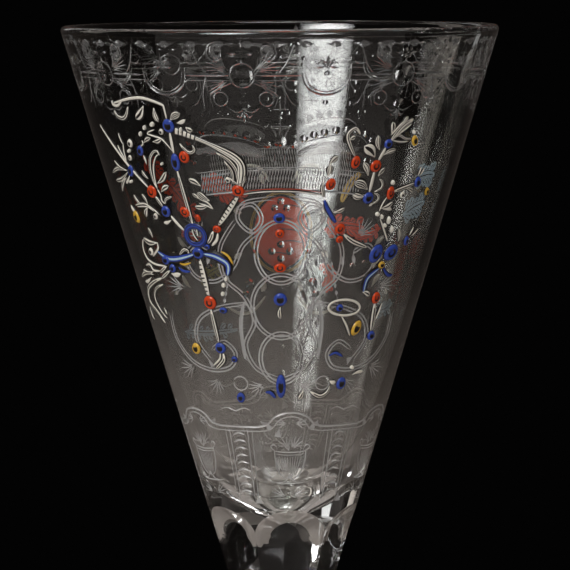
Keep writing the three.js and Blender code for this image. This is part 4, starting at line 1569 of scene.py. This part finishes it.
BEADS = {
    ("left_spray", LEFT_AT): (
        ("top_blue_bead", -1.6, 19.1, 2.6, 2.6, "blue"), ("long_blue_bead", -1.4, 26.4, 1.9, 3.4, "blue"),
        ("stem_red_bead", 0.85, 25.3, 2.2, 2.3, "red"), ("feather_red_bead", 11.2, 31.9, 2.3, 2.2, "red"),
        ("bow_knot", 0.2, 44.8, 2.5, 2.2, "blue"), ("branch_red_bead", -9.1, 32.6, 2.5, 2.4, "red"),
        ("branch_blue_bead", -6.1, 36.5, 2.2, 2.2, "blue"), ("hanging_red_bead", 1.0, 54.9, 2.6, 2.6, "red"),
        ("hanging_blue_bead", 1.6, 64.3, 2.2, 2.1, "blue")),
    ("right_spray", RIGHT_AT): (
        ("top_blue_bead", -4.4, 22.9, 1.8, 1.8, "blue"), ("stem_red_bead", -6.3, 27.3, 2.3, 2.3, "red"),
        ("stem_blue_bead", -6.6, 33.7, 2.2, 2.2, "blue"), ("side_red_bead", -1.4, 32.9, 1.7, 2.5, "red"),
        ("side_blue_bead", 5.7, 31.0, 1.7, 2.1, "blue"), ("hook_red_bead", -11.0, 26.4, 1.8, 2.4, "red"),
        ("bow_knot", 0.0, 47.6, 1.6, 1.4, "yellow"), ("hanging_red_bead", 0.3, 54.4, 1.9, 2.3, "red"),
        ("hanging_blue_bead", 1.0, 62.2, 1.8, 1.8, "blue")),
    ("front", FRONT_AT): (
        ("upper_red_bead", 0.0, 40.5, 1.8, 1.7, "red"), ("middle_red_bead", 0.0, 47.5, 2.3, 1.8, "red"),
        ("blue_bead", 0.0, 54.0, 2.5, 2.5, "blue"), ("long_blue_drop", 0.0, 72.0, 1.8, 4.6, "blue")),
}
STEMS = {
    ("left_spray", LEFT_AT): (
        ("crest_tendril", 0.75, "white", "plain",
         ((-16.6, 15), (-10.4, 13.8), (-6.6, 13.7), (-2.5, 14.8), (-2.0, 15.4), (-1.8, 17.8))),
        ("upper_stem", 0.8, "white", "plain", ((-1.6, 20.4), (-1.5, 24.7))),
        ("lower_stem", 0.9, "white", "edged", ((-1.4, 28.1), (-0.8, 32.5), (0.1, 39.0))),
        ("feather", 2.1, "white", "feather", ((-0.5, 20.0), (2.2, 20.8), (8.4, 23.4), (12.4, 26.4), (11.6, 30.9))),
        ("outer_branch", 0.8, "white", "plain", ((-24.5, 19.6), (-16.5, 26.5), (-10.1, 31.8))),
        ("inner_branch", 0.9, "white", "edged", ((-8.3, 33.6), (-6.8, 35.6))),
        ("left_ribbon", 2.0, "blue", "ribbon", ((-1.0, 45.1), (-4.6, 46.0), (-7.7, 46.2), (-10.8, 45.0))),
        ("right_ribbon", 2.0, "blue", "ribbon", ((1.4, 44.9), (4.0, 45.4), (6.3, 46.9), (5.9, 49.2))),
        ("hanging_stem", 1.3, "white", "ladder", ((0.3, 46.1), (0.9, 53.6)))),
    ("right_spray", RIGHT_AT): (
        ("hook", 0.8, "white", "edged", ((-11.2, 20.8), (-12.5, 19.6), (-13.8, 20.8), (-13.0, 22.8), (-11.4, 25.2))),
        ("plume", 1.4, "white", "two", ((0.8, 18.2), (-1.6, 19.6), (-3.8, 22.3))),
        ("upper_stem", 0.9, "white", "plain", ((-4.8, 23.7), (-5.9, 26.2))),
        ("lower_stem", 0.9, "white", "plain", ((-6.35, 28.4), (-6.55, 32.6))),
        ("side_branch", 0.9, "white", "edged", ((-0.7, 32.7), (4.9, 31.3))),
        ("bow_tail", 1.5, "blue", "ribbon", ((-0.4, 48.3), (-2.9, 50.2), (-3.2, 53.0))),
        ("hanging_stem", 1.3, "white", "edged", ((0.4, 55.6), (0.9, 61.3)))),
}
# Loops of the two bows: name, right, down, width, height, tilt
LOOPS = {
    ("left_spray", LEFT_AT): (("bow_ring", 0.2, 41.2, 4.3, 3.9, 0),),
    ("right_spray", RIGHT_AT): (("bow_left_loop", -2.0, 45.2, 2.3, 3.2, 24),
                               ("bow_right_loop", 2.0, 45.2, 3.2, 2.3, -30)),
}
# A loop this wide is one closed stroke, and a smaller one is a drop with an open loop on it
WIDE_LOOP = 4.0
LOOP_BAND = 1.3
LOOP_FILL = 0.8
# How much wider than a stroke the black stroke of painted shade under it is
PAINTED_SHADE_MARGIN = 0.35
DROP_SPREAD = 1.1

# %% Lay the large touches
made_pieces = 0
for (spray, azimuth), rows in BEADS.items():
    for name, across, down, width, height, colour in rows:
        paint = Paint(azimuth)
        drop(paint, across, down, DROP_SPREAD * width, DROP_SPREAD * height, 0.0, colour)
        paint.piece(f"{spray}_{name}_enamel", SLOTS[colour], f"{spray}_{name}")
        made_pieces += 1
# Stems and ribbons lie on wider black strokes of painted shade
for (spray, azimuth), rows in STEMS.items():
    for name, width, colour, style, places in rows:
        paint = Paint(azimuth)
        stroke(paint, places, width, colour, style, full=full_feather if style == "feather" else full_stroke,
               inner="pale", painted_shade_margin=PAINTED_SHADE_MARGIN)
        paint.piece(f"{spray}_{name}_enamel", SLOTS[colour], f"{spray}_{name}")
        made_pieces += 1
for (spray, azimuth), rows in LOOPS.items():
    for name, across, down, width, height, tilt in rows:
        paint = Paint(azimuth)
        if width > WIDE_LOOP:
            stroke(paint, oval(across, down, width, height, tilt), LOOP_BAND, "blue", "two", closed=True)
        else:
            drop(paint, across, down, width + LOOP_FILL, height + LOOP_FILL, tilt, "blue", open_loop=True)
        paint.piece(f"{spray}_{name}_enamel", "blue_enamel", f"{spray}_{name}")
        made_pieces += 1
print("pieces of enamel on the front:", made_pieces)

# %% [markdown]
# ## Leaves and small touches
# Round the stems go the leaves, curls and dots, mostly white with black hair lines. They follow no rule
# but the painter's hand, so they are listed. A leaf row is: stalk, tip, width, number of lines. A curl row
# is: width, style, places. A dot row is: right, down, width, height. A small bead row starts with a colour.

# %% Small touches of the left spray
LEFT_LEAVES = (
    (-7.3, 15.3, -10.0, 17.9, 1.9, 1), (-4.6, 15.6, -4.0, 18.4, 1.4, 2), (-1.0, 18.0, 1.5, 16.6, 1.7, 3),
    (0.4, 18.5, 2.5, 17.8, 1.0, 0), (-8.9, 22.7, -6.9, 21.7, 1.0, 1), (-6.4, 22.4, -4.0, 21.8, 1.0, 1),
    (-16.4, 28.6, -21.1, 26.8, 0.9, 1), (-16.5, 28.7, -23.5, 29.4, 0.9, 1), (-16.1, 28.9, -22.5, 31.0, 1.0, 1),
    (-17.3, 30.2, -20.4, 33.1, 1.0, 1), (-15.7, 29.6, -17.8, 31.4, 0.8, 0), (-9.3, 27.2, -9.7, 25.3, 0.7, 0),
    (-9.6, 30.0, -11.1, 28.4, 0.9, 1), (-7.2, 30.9, -4.3, 28.5, 1.2, 1), (-6.5, 32.6, -4.3, 31.3, 1.2, 1),
    (3.4, 31.1, 0.9, 29.8, 1.3, 1), (4.8, 34.0, 2.4, 32.4, 1.8, 3), (2.5, 33.7, 1.2, 32.7, 0.8, 1),
    (4.4, 35.0, 1.3, 35.3, 1.1, 1), (2.3, 19.3, 3.7, 20.0, 1.3, 1), (-13.4, 35.5, -15.6, 33.6, 0.9, 1),
    (-11.2, 35.3, -12.6, 33.3, 0.9, 1), (-15.8, 37.4, -17.7, 35.8, 1.1, 0), (-11.6, 36.0, -12.6, 38.0, 1.3, 1),
    (-5.2, 38.3, -7.4, 38.9, 0.9, 0), (-11.7, 42.2, -12.8, 40.2, 1.0, 1), (-10.5, 43.2, -15.3, 42.5, 1.4, 1),
    (-7.9, 49.4, -5.2, 49.3, 1.2, 0), (-14.0, 49.4, -18.5, 49.3, 0.9, 1), (-14.2, 50.0, -20.4, 50.9, 1.0, 1),
    (-15.4, 50.7, -18.8, 51.8, 0.9, 0), (-19.9, 57.2, -18.6, 59.8, 0.9, 1), (-12.5, 56.8, -11.8, 58.2, 0.6, 0))
LEFT_CURLS = (
    (1.0, "edged", ((-16.6, 16.4), (-15.8, 17.5), (-14.1, 17.9), (-12.8, 17.3), (-11.8, 15.6))),
    (0.8, "plain", ((-16.7, 14.4), (-16.6, 15.2), (-15.0, 15.4), (-13.6, 14.6))),
    (0.5, "plain", ((-10.1, 23.5), (-9.1, 22.9), (-9.4, 22.2))),
    (0.5, "plain", ((-1.8, 24.1), (-2.8, 22.8), (-4.0, 21.7), (-5.9, 21.2), (-7.5, 20.7), (-5.5, 20.0))),
    (0.5, "plain", ((-15.9, 23.2), (-16.4, 22.0), (-16.8, 21.0))),
    (0.5, "plain", ((-15.7, 26.7), (-15.9, 24.5), (-15.7, 23.0))),
    (0.5, "plain", ((-15.7, 26.7), (-17.2, 24.8), (-18.0, 23.5))),
    (0.8, "edged", ((-7.4, 32.0), (-8.2, 30.1), (-8.4, 27.9), (-7.9, 25.8), (-6.7, 24.5), (-5.7, 24.3),
                    (-5.2, 25.1))),
    (0.5, "plain", ((-7.4, 31.9), (-7.6, 29.7), (-7.3, 27.3), (-6.3, 25.5), (-5.5, 25.0))),
    (0.5, "plain", ((-7.4, 32.1), (-6.7, 33.3), (-6.7, 34.3), (-6.0, 35.0))),
    (0.7, "edged", ((-6.0, 35.0), (-5.5, 34.0), (-4.0, 33.5))),
    (0.5, "plain", ((5.3, 35.7), (4.4, 34.4), (2.8, 33.8))), (0.4, "plain", ((5.3, 35.7), (4.0, 35.0), (2.4, 34.6))),
    (0.8, "edged", ((0.3, 22.6), (1.0, 23.5), (2.2, 24.4), (3.4, 23.9), (3.1, 22.9))),
    (0.5, "plain", ((-15.7, 35.7), (-12.3, 35.2), (-9.7, 36.2), (-8.2, 37.3))),
    (0.4, "plain", ((-15.1, 36.0), (-11.5, 35.8), (-9.6, 36.7))),
    (0.9, "plain", ((-5.0, 37.4), (-4.0, 38.5), (-2.2, 40.3))),
    (1.3, "ladder", ((10.9, 33.1), (8.9, 35.5), (7.3, 37.4), (5.9, 38.9))),
    (0.8, "edged", ((8.0, 24.3), (10.2, 25.7), (11.4, 27.5), (11.5, 29.3), (11.1, 30.6))),
    (0.6, "edged", ((9.4, 26.0), (10.5, 27.8), (10.6, 29.4), (10.4, 30.5))),
    (0.6, "edged", ((9.9, 29.3), (11.2, 30.5), (12.7, 30.0), (13.0, 28.4))),
    (0.7, "plain", ((-15.5, 42.8), (-16.1, 44.7), (-15.1, 46.7), (-12.4, 47.7), (-9.3, 47.9))),
    (0.7, "plain", ((-10.5, 43.2), (-10.5, 44.4), (-12.8, 46.1))),
    (0.8, "edged", ((-4.6, 45.4), (-3.1, 44.2), (-2.1, 44.5), (-2.4, 45.2))),
    (0.9, "edged", ((-9.0, 48.0), (-11.4, 49.4))), (0.9, "edged", ((-8.3, 48.9), (-11.2, 50.6))),
    (0.7, "plain", ((-11.5, 49.1), (-13.6, 49.0), (-14.6, 47.9), (-16.5, 48.2))),
    (1.2, "edged", ((-11.4, 50.6), (-14.9, 51.7), (-18.2, 53.5), (-18.5, 56.0), (-15.6, 58.0), (-13.3, 60.0))),
    (0.8, "edged", ((-11.4, 51.9), (-14.3, 53.0), (-15.5, 54.9), (-14.3, 57.2), (-12.2, 58.9))),
    (1.0, "edged", ((4.4, 40.3), (3.7, 41.7), (2.8, 42.7))), (0.8, "plain", ((5.4, 40.6), (4.9, 42.0), (3.6, 43.2))),
    (0.4, "plain", ((-0.3, 39.9), (0.0, 41.2), (0.7, 42.3))), (0.4, "plain", ((0.8, 40.0), (0.9, 41.4))),
    (1.0, "edged", ((0.9, 56.4), (1.1, 59.6), (1.4, 63.1))),
    (1.0, "edged", ((2.0, 65.5), (1.8, 66.9), (-0.2, 68.7))),
    (0.6, "plain", ((1.3, 65.5), (1.0, 66.6), (-0.7, 68.0))))
LEFT_DOTS = (
    (-7.9, 19.6, 0.6, 1.0), (-5.7, 18.9, 1.0, 1.0), (-9.4, 20.9, 0.6, 1.0), (-3.6, 20.3, 1.1, 1.3),
    (-14.0, 24.5, 0.6, 0.8), (-15.4, 30.8, 0.6, 0.7), (-4.9, 26.8, 0.5, 0.6), (-13.1, 22.9, 1.6, 1.8),
    (-14.0, 25.9, 1.1, 1.2), (9.5, 29.7, 1.1, 1.2), (1.1, 19.9, 0.6, 1.1), (-9.2, 37.6, 1.2, 1.4),
    (-13.0, 45.1, 1.5, 1.7), (5.5, 49.9, 0.7, 0.8), (4.7, 51.2, 0.9, 1.0), (4.2, 53.0, 0.8, 0.9))
LEFT_SMALL_BEADS = (
    ("blue", -14.7, 28.6, 1.7, 2.3, 20), ("yellow", -16.0, 38.1, 1.8, 2.6, -28), ("red", -1.2, 36.4, 2.3, 1.9, 30),
    ("blue", -10.3, 24.3, 1.6, 2.0, 10), ("blue", -8.6, 46.6, 2.0, 1.8, 0),
    ("red", 1.6, 37.6, 1.2, 1.5, -10), ("red", 5.4, 39.7, 1.7, 1.4, 0), ("blue", -7.0, 48.2, 1.6, 1.7, 0),
    ("blue", 2.6, 43.4, 1.2, 1.0, 0), ("blue", 3.7, 56.4, 1.6, 1.2, 0), ("yellow", -4.4, 64.7, 2.1, 2.2, 0),
    ("blue", 4.3, 66.5, 1.2, 1.2, 0))
LEFT_RIBBONS = (
    ("yellow", 0.6, ((-4.9, 47.1), (-3.6, 47.3), (-2.1, 46.9))),
    ("blue", 1.0, ((-5.4, 47.9), (-4.2, 48.6), (-2.6, 48.7))),
    ("yellow", 0.7, ((5.4, 44.3), (6.8, 45.2), (7.5, 46.9))))

# %% Small touches of the right spray and the front
RIGHT_LEAVES = (
    (-1.6, 19.4, -0.6, 17.6, 1.1, 2), (-4.0, 20.9, -4.3, 18.6, 1.4, 1), (-6.1, 24.1, -7.1, 21.2, 1.4, 2),
    (-6.9, 25.5, -9.7, 23.3, 2.6, 1), (-5.0, 25.2, -2.2, 24.2, 1.3, 2), (-7.6, 29.2, -9.2, 26.6, 1.5, 2),
    (-5.2, 29.4, -4.0, 27.8, 1.2, 1), (-7.1, 32.0, -10.3, 30.5, 2.0, 3), (-7.5, 33.4, -10.1, 33.0, 1.6, 2),
    (-5.0, 34.8, -6.0, 35.4, 0.8, 0), (-13.2, 21.9, -12.1, 21.3, 1.1, 1), (-16.2, 29.1, -16.3, 26.8, 1.3, 2),
    (-16.3, 26.8, -14.9, 25.1, 1.2, 1), (-13.4, 36.4, -11.3, 35.6, 1.0, 1), (2.7, 32.2, 5.0, 33.0, 0.9, 1),
    (-2.9, 36.0, -0.2, 34.8, 1.2, 1), (-2.3, 36.2, -0.1, 36.4, 0.9, 0), (3.6, 43.0, 3.0, 40.5, 1.4, 2),
    (-3.4, 53.0, -1.4, 53.9, 1.2, 1), (-6.9, 71.2, -5.4, 71.6, 1.1, 0), (-1.8, 70.2, 0.9, 69.7, 0.9, 0))
RIGHT_CURLS = (
    (0.5, "plain", ((-3.6, 21.7), (-1.8, 20.7), (0.6, 19.1))),
    (0.5, "plain", ((-4.1, 21.2), (-2.6, 19.4), (-1.1, 18.2))),
    (0.6, "edged", ((-3.4, 21.7), (-2.0, 21.3), (-0.4, 22.0), (1.2, 22.1))),
    (0.4, "plain", ((-3.3, 22.3), (-1.5, 22.6), (0.5, 22.6))),
    (0.7, "edged", ((-5.3, 32.5), (-3.9, 31.8), (-3.9, 30.7), (-4.7, 30.0))),
    (0.7, "edged", ((-5.2, 34.9), (-4.1, 34.2), (-4.4, 33.2), (-5.2, 32.9))),
    (0.8, "edged", ((-16.8, 30.3), (-16.8, 31.6), (-16.1, 33.3))),
    (1.1, "edged", ((-10.3, 41.0), (-8.0, 42.5), (-4.6, 43.8))),
    (0.5, "plain", ((6.2, 29.7), (7.1, 28.3))), (0.5, "plain", ((5.5, 29.7), (6.0, 28.0))),
    (0.5, "plain", ((-2.1, 33.8), (-2.8, 34.9), (-3.3, 36.5))),
    (0.5, "plain", ((-2.6, 38.2), (-1.3, 40.2), (0.4, 42.8))),
    (0.5, "plain", ((6.7, 41.9), (7.6, 40.3))), (0.5, "plain", ((7.6, 42.1), (9.5, 40.8))),
    (0.6, "plain", ((2.3, 55.7), (1.9, 57.4), (1.4, 59.0))),
    (0.6, "plain", ((-7.1, 57.9), (-5.7, 59.7), (-4.4, 61.9))),
    (1.0, "edged", ((-10.5, 73.3), (-8.4, 74.3), (-7.0, 73.6), (-6.6, 72.4))))
RIGHT_DOTS = (
    (1.6, 20.7, 0.5, 0.8), (-1.3, 30.8, 0.8, 1.0), (1.8, 33.4, 1.2, 1.4), (-3.6, 37.1, 0.9, 0.9),
    (-2.4, 37.7, 0.6, 1.0), (-0.4, 38.5, 0.8, 1.6), (-1.2, 39.5, 0.7, 0.8), (0.9, 40.4, 0.7, 1.4),
    (-2.3, 68.6, 0.8, 0.8))
RIGHT_SMALL_BEADS = (
    ("yellow", 2.3, 22.5, 1.5, 2.2, -25), ("red", -15.3, 30.7, 1.9, 2.2, 0), ("red", -11.5, 39.7, 2.0, 2.0, 0),
    ("red", -11.1, 41.9, 1.4, 1.4, 0), ("yellow", 9.5, 33.1, 1.3, 1.6, 0), ("blue", 5.9, 43.0, 1.3, 1.9, 0),
    ("yellow", -3.2, 60.4, 2.0, 3.0, 20), ("blue", -8.0, 56.0, 1.4, 1.4, 0), ("blue", -4.2, 71.8, 2.0, 2.4, 0))
RIGHT_RIBBONS = (
    ("blue", 1.2, ((-15.9, 34.0), (-15.1, 35.4), (-13.9, 37.0), (-12.6, 38.5))),
    ("blue", 1.1, ((0.7, 48.3), (2.3, 49.8), (3.8, 49.9))), ("blue", 0.9, ((-8.1, 65.9), (-6.9, 65.3), (-5.1, 66.2))))
FRONT_LEAVES = ((4.4, 73.0, 3.5, 74.8, 1.0, 1), (0.0, 55.6, 0.0, 58.0, 0.9, 1))
FRONT_SMALL_BEADS = (("blue", -0.1, 37.4, 2.2, 1.9, 0), ("blue", -8.2, 74.5, 1.6, 2.0, -10))
FRONT_RIBBONS = (("blue", 1.1, ((-3.1, 73.3), (-2.1, 73.3), (-1.1, 74.5))),
                 ("red", 0.16, ((-8.6, 32.4), (-4.4, 31.7), (0, 31.5), (4.4, 31.7), (8.6, 32.4))))
FRONT_CURLS = ((0.32, "plain", ((-8.6, 32.9), (-4.4, 32.2), (0, 32.0), (4.4, 32.2), (8.6, 32.9))),)

# %% Lay the small touches
CURL_SHARE = 0.88
LEAF_BEND = 0.09
LINED_FROM = 1.0


def small_touches(spray, azimuth, leaves, curls, dots, beads, ribbons):
    white = Paint(azimuth)
    # Leaves and curls lie on wider black strokes of painted shade
    for row, (x0, y0, x1, y1, width, lines) in enumerate(leaves):
        leaf(white, x0, y0, x1, y1, width, lines, bend=LEAF_BEND if row % 2 else -LEAF_BEND, painted_shade_margin=PAINTED_SHADE_MARGIN)
    for width, style, places in curls:
        stroke(white, places, CURL_SHARE * width, "white", style, painted_shade_margin=PAINTED_SHADE_MARGIN)
    for across, down, width, height in dots:
        drop(white, across, down, width, height, lined=width > LINED_FROM)
    white.piece(f"{spray}_leaves_enamel", "white_enamel")
    for colour in sorted({bead[0] for bead in beads} | {ribbon[0] for ribbon in ribbons}):
        paint = Paint(azimuth)
        for _, across, down, width, height, tilt in [bead for bead in beads if bead[0] == colour]:
            drop(paint, across, down, DROP_SPREAD * width, DROP_SPREAD * height, tilt, colour)
        for _, width, places in [ribbon for ribbon in ribbons if ribbon[0] == colour]:
            stroke(paint, places, width, colour, "ribbon" if colour == "blue" else "plain")
        paint.piece(f"{spray}_{colour}_touches_enamel", SLOTS[colour])


small_touches("left_spray", LEFT_AT, LEFT_LEAVES, LEFT_CURLS, LEFT_DOTS, LEFT_SMALL_BEADS, LEFT_RIBBONS)
small_touches("right_spray", RIGHT_AT, RIGHT_LEAVES, RIGHT_CURLS, RIGHT_DOTS, RIGHT_SMALL_BEADS, RIGHT_RIBBONS)
small_touches("front", FRONT_AT, FRONT_LEAVES, FRONT_CURLS, (), FRONT_SMALL_BEADS, FRONT_RIBBONS)
ring_paint = Paint(RIGHT_AT)
stroke(ring_paint, oval(-6.9, 56.0, 7.2, 3.2, 6), 0.6, "white", closed=True)
ring_paint.piece("right_spray_oval_ring_enamel", "white_enamel")

# %% [markdown]
# ## The back: a shield in an oval frame
# On the far side a plain red shield stands in a yellow frame, with scrolls, plumes and a banner. These are
# broad washes of enamel with black outlines, and they show softly through the clear front.

# %% Enamel of the back
# The red scrolls are in the back's red, which is painted lighter as painted light
# Name, width, colour, lobes, places
BACK_FRONDS = (
    ("left_red_scroll", 3.4, "red_wash", 9, ((36, 28.3), (31, 32.1), (26, 36), (20.1, 41.5))),
    ("left_lower_scroll", 3.4, "red_wash", 6, ((18.1, 33.2), (13.3, 35.8), (8.1, 38.6))),
    ("right_red_scroll", 3.4, "red_wash", 5, ((-9.9, 44.6), (-13.5, 43.4), (-19.7, 43.8))),
    ("right_lower_scroll", 2.4, "red_wash", 4, ((-9.7, 51.4), (-11.3, 54.5), (-10.3, 57.6))),
    ("upper_plume", 3.8, "pale", 6, ((-35.8, 33.2), (-40.5, 32.4), (-45.6, 32))),
    ("middle_plume", 3.6, "pale", 6, ((-32.2, 40.9), (-37, 39), (-42, 37.8))),
    ("lower_plume", 2.6, "pale", 4, ((-24.7, 61), (-28, 60.4), (-31.4, 59))),
    ("pale_banner", 2.6, "pale", 7, ((26, 64.8), (18, 65.6), (10.2, 65.3))),
    ("olive_leaf", 2.6, "olive", 5, ((20, 54.5), (16.6, 53.1), (11.8, 51.2))),
    ("yellow_ribbon", 1.4, "yellow", 0, ((-18.6, 32.5), (-15.9, 35), (-14, 38.6))))

# %% Lay the fronds
RIBBON_SHARE = 1.3
for name, width, colour, lobes, places in BACK_FRONDS:
    paint = Paint(BACK_AT)
    if lobes:
        frond(paint, places, width, colour, lobes)
    else:
        stroke(paint, places, RIBBON_SHARE * width, colour, "wash", through=True)
    paint.piece(f"back_{name}_enamel", SLOTS[colour], f"back_{name}")

# %% Shield frame
SHIELD_CENTRE = 45.0
FRAME_SIZE = (13.7, 16.7)
FRAME_LINE = 0.65
paint = Paint(BACK_AT)
frame_oval = oval(0, SHIELD_CENTRE, *FRAME_SIZE, count=40)
stroke(paint, frame_oval, FRAME_LINE, "yellow", "edged", closed=True, through=True)
paint.piece("back_shield_frame_enamel", "yellow_enamel", "back_shield_frame")

# %% Shield field
SHIELD_SIZE = (12.0, 15.0)
# The field's rings, over its face and back under it: share of its width, lift
FIELD_RINGS = ((1.0, SEAT), (1.0, 0.1), (0.97, 0.34), (0.93, 0.44), (0.8, 0.5), (0.6, 0.5), (0.4, 0.5), (0.2, 0.5),
               (0.2, SEAT), (0.5, SEAT), (0.8, SEAT))
INNERMOST_OVER, INNERMOST_UNDER = 7, 8
FIELD_SIDES = 48
HAIR_ROWS = 5
HAIR_PITCH = 2.5
HAIR_LINE = 0.24
paint = Paint(BACK_AT)
rings = []
for share, lift in FIELD_RINGS:
    places = oval(0, SHIELD_CENTRE, share * SHIELD_SIZE[0], share * SHIELD_SIZE[1], count=FIELD_SIDES)[:-1]
    rings.append([paint.place(x, y, lift) for x, y in places])
# The field's outline is black, and its red is the back's red, painted lighter as painted light
for level, lower in enumerate(rings):
    if level == INNERMOST_OVER:
        continue
    upper = rings[(level + 1) % len(rings)]
    for i in range(FIELD_SIDES):
        j = (i + 1) % FIELD_SIDES
        paint.face((lower[i], upper[i], upper[j], lower[j]), "black" if level < 2 else "red_wash")
paint.face(rings[INNERMOST_OVER][::-1], "red_wash")
paint.face(rings[INNERMOST_UNDER], "red_wash")
# Hair lines laid down before the red show through the glass from the front
for row in range(HAIR_ROWS):
    y = SHIELD_CENTRE - 5.2 + HAIR_PITCH * row
    half = 4.6 * math.sqrt(1 - ((y - SHIELD_CENTRE) / 7.2) ** 2)
    x = (-1.2, 1.4, 0.2)[row % 3]
    hair = ((x - half, y), (x - 0.3 * half, y - 0.5), (x + 0.2 * half, y - 0.4))
    stroke(paint, hair, HAIR_LINE, "black", rise=BLACK_UNDERLAY_RISE, through=True, seat=2 * SEAT)
paint.piece("back_shield_field_enamel", "red_enamel", "back_shield_field")

# %% Small touches of the back
PETALS = 8
SIDE_LEAVES = 3
BACK_CURLS = (((2.6, 34.3), (4.4, 31.6), (7.4, 30.9), (9.4, 32.4)),
              ((3.6, 58.4), (6.4, 61.4), (9.6, 61.8), (12.4, 60.4)))
paint = Paint(BACK_AT)
wash = Paint(BACK_AT)
for i in range(PETALS):
    angle = 2 * math.pi * (i + 0.5) / PETALS
    x, y = math.cos(angle), math.sin(angle)
    leaf(paint, 9.6 * x, SHIELD_CENTRE + 11.0 * y, 11.6 * x, SHIELD_CENTRE + 13.4 * y, 1.3, 1)
for side in (-1, 1):
    for i in range(SIDE_LEAVES):
        y = 48.0 + 4.0 * i
        leaf(paint, side * 22.6, y, side * (26.0 - 0.4 * i), y - 2.6, 1.1, 1)
        drop(paint, side * 27.6, y + 0.8, 0.9, 1.0, lined=False)
    # The small fronds are in the back's red, painted lighter as painted light
    frond(wash, mirrored(side, (24.5, 43.8), (20.8, 45.6), (17.0, 46.4)), 2.2, "red_wash", 4)
    for curl in BACK_CURLS:
        stroke(paint, mirrored(side, *curl), 0.7, "white", "edged")
paint.piece("back_leaves_enamel", "white_enamel")
wash.piece("back_small_fronds_enamel", "red_enamel")

# %% [markdown]
# ## Light and background
# The photograph was lit by one tall soft window behind the camera, to its left, and shows the glass
# against black. Clear glass is drawn by what it reflects, so the background is kept dark for the camera and
# for rays that pass through or bounce off the glass, while a plain pale light falls from all round.

# %% World and lamps
ROOM_STRENGTH = 0.28
world = bpy.data.worlds.new("studio")
bpy.context.scene.world = world
world.use_nodes = True
tree = world.node_tree
tree.nodes.clear()
ray = add_node(tree, "ShaderNodeLightPath")
looked_at = add_node(tree, "ShaderNodeMath", {"operation": "MAXIMUM"},
                     {0: ray.outputs["Is Camera Ray"], 1: ray.outputs["Is Transmission Ray"]})
lighting = add_node(tree, "ShaderNodeMath", {"operation": "MINIMUM"}, {0: ray.outputs["Diffuse Depth"], 1: 1.0})
seen = add_node(tree, "ShaderNodeMath", {"operation": "SUBTRACT", "use_clamp": True},
                {0: looked_at.outputs[0], 1: lighting.outputs[0]})
room = add_node(tree, "ShaderNodeBackground", inputs={"Color": linear("#e0dcd8"), "Strength": ROOM_STRENGTH})
dim_room = add_node(tree, "ShaderNodeBackground", inputs={"Color": linear("#332e2b"), "Strength": 1.0})
backdrop = add_node(tree, "ShaderNodeBackground", inputs={"Color": linear("#030303"), "Strength": 1.0})
lit = add_node(tree, "ShaderNodeMixShader", inputs={"Fac": ray.outputs["Is Glossy Ray"], 1: room.outputs[0],
                                                    2: dim_room.outputs[0]})
mixed = add_node(tree, "ShaderNodeMixShader", inputs={"Fac": seen.outputs[0], 1: lit.outputs[0],
                                                      2: backdrop.outputs[0]})
add_node(tree, "ShaderNodeOutputWorld", inputs={"Surface": mixed.outputs[0]})


def softbox(name, azimuth, elevation, distance, width, height, power, spread=180, aim_height=145, colour="#ffffff"):
    """A soft rectangular lamp. A narrow spread, as from a grid, fades it towards its edges."""
    data = bpy.data.lights.new(name, "AREA")
    data.shape = "RECTANGLE"
    data.size, data.size_y = width, height
    data.energy = power
    data.spread = math.radians(spread)
    data.color = linear(colour)[:3]
    lamp = new_object(name, data)
    a, e = math.radians(azimuth), math.radians(elevation)
    target = Vector((0.0, 0.0, aim_height * MM))
    lamp.location = target + distance * Vector((math.sin(a) * math.cos(e), -math.cos(a) * math.cos(e),
                                                math.sin(e)))
    lamp.rotation_euler = (target - lamp.location).to_track_quat("-Z", "Y").to_euler()


softbox("window", -29, 29, 1.2, 0.64, 0.64, 0.8, spread=32, aim_height=188)
softbox("left_panel", -118, 30, 1.2, 0.5, 0.8, 1.0, colour="#fff4ea")
softbox("table_lamp", 0, 89, 0.9, 0.3, 0.3, 0.1, spread=50, aim_height=0)
softbox("edge_lamp", -155, 28, 1.2, 0.16, 0.8, 0.35)

# %% [markdown]
# ## The table
# A round pale table top. The goblet stands near its far edge, so from the front the bowl is seen before the
# dark room.

# %% Floor
FLOOR_RADIUS = 0.42
FLOOR_FORWARD = 0.3
FLOOR_SIDES = 96
MOTTLE_SCALE = 60.0
floor_material, tree = new_material("pale_table_lacquer")
place = add_node(tree, "ShaderNodeTexCoord")
mottle = add_node(tree, "ShaderNodeTexNoise", inputs={"Vector": place.outputs["Object"], "Scale": MOTTLE_SCALE})
tone = add_node(tree, "ShaderNodeMix", {"data_type": "RGBA"}, {"Factor": mottle.outputs["Fac"]})
tone.inputs["A"].default_value = linear("#bdb5b1")
tone.inputs["B"].default_value = linear("#c6beba")
shader = add_node(tree, "ShaderNodeBsdfPrincipled", inputs={
    "Base Color": tone.outputs["Result"], "Roughness": 0.7})
finish_material(tree, shader)
floor_mesh = bpy.data.meshes.new("floor")
turns = [2 * math.pi * i / FLOOR_SIDES for i in range(FLOOR_SIDES)]
rim_points = [(FLOOR_RADIUS * math.cos(a), FLOOR_RADIUS * math.sin(a) - FLOOR_FORWARD, 0.0) for a in turns]
floor_mesh.from_pydata(rim_points, [], [tuple(range(FLOOR_SIDES))])
floor_mesh.materials.append(floor_material)
floor = new_object("floor", floor_mesh)

# %% Render settings
scene = bpy.context.scene
scene.view_settings.view_transform = "Standard"
scene.cycles.max_bounces = 24
scene.cycles.transmission_bounces = 24
scene.cycles.glossy_bounces = 8
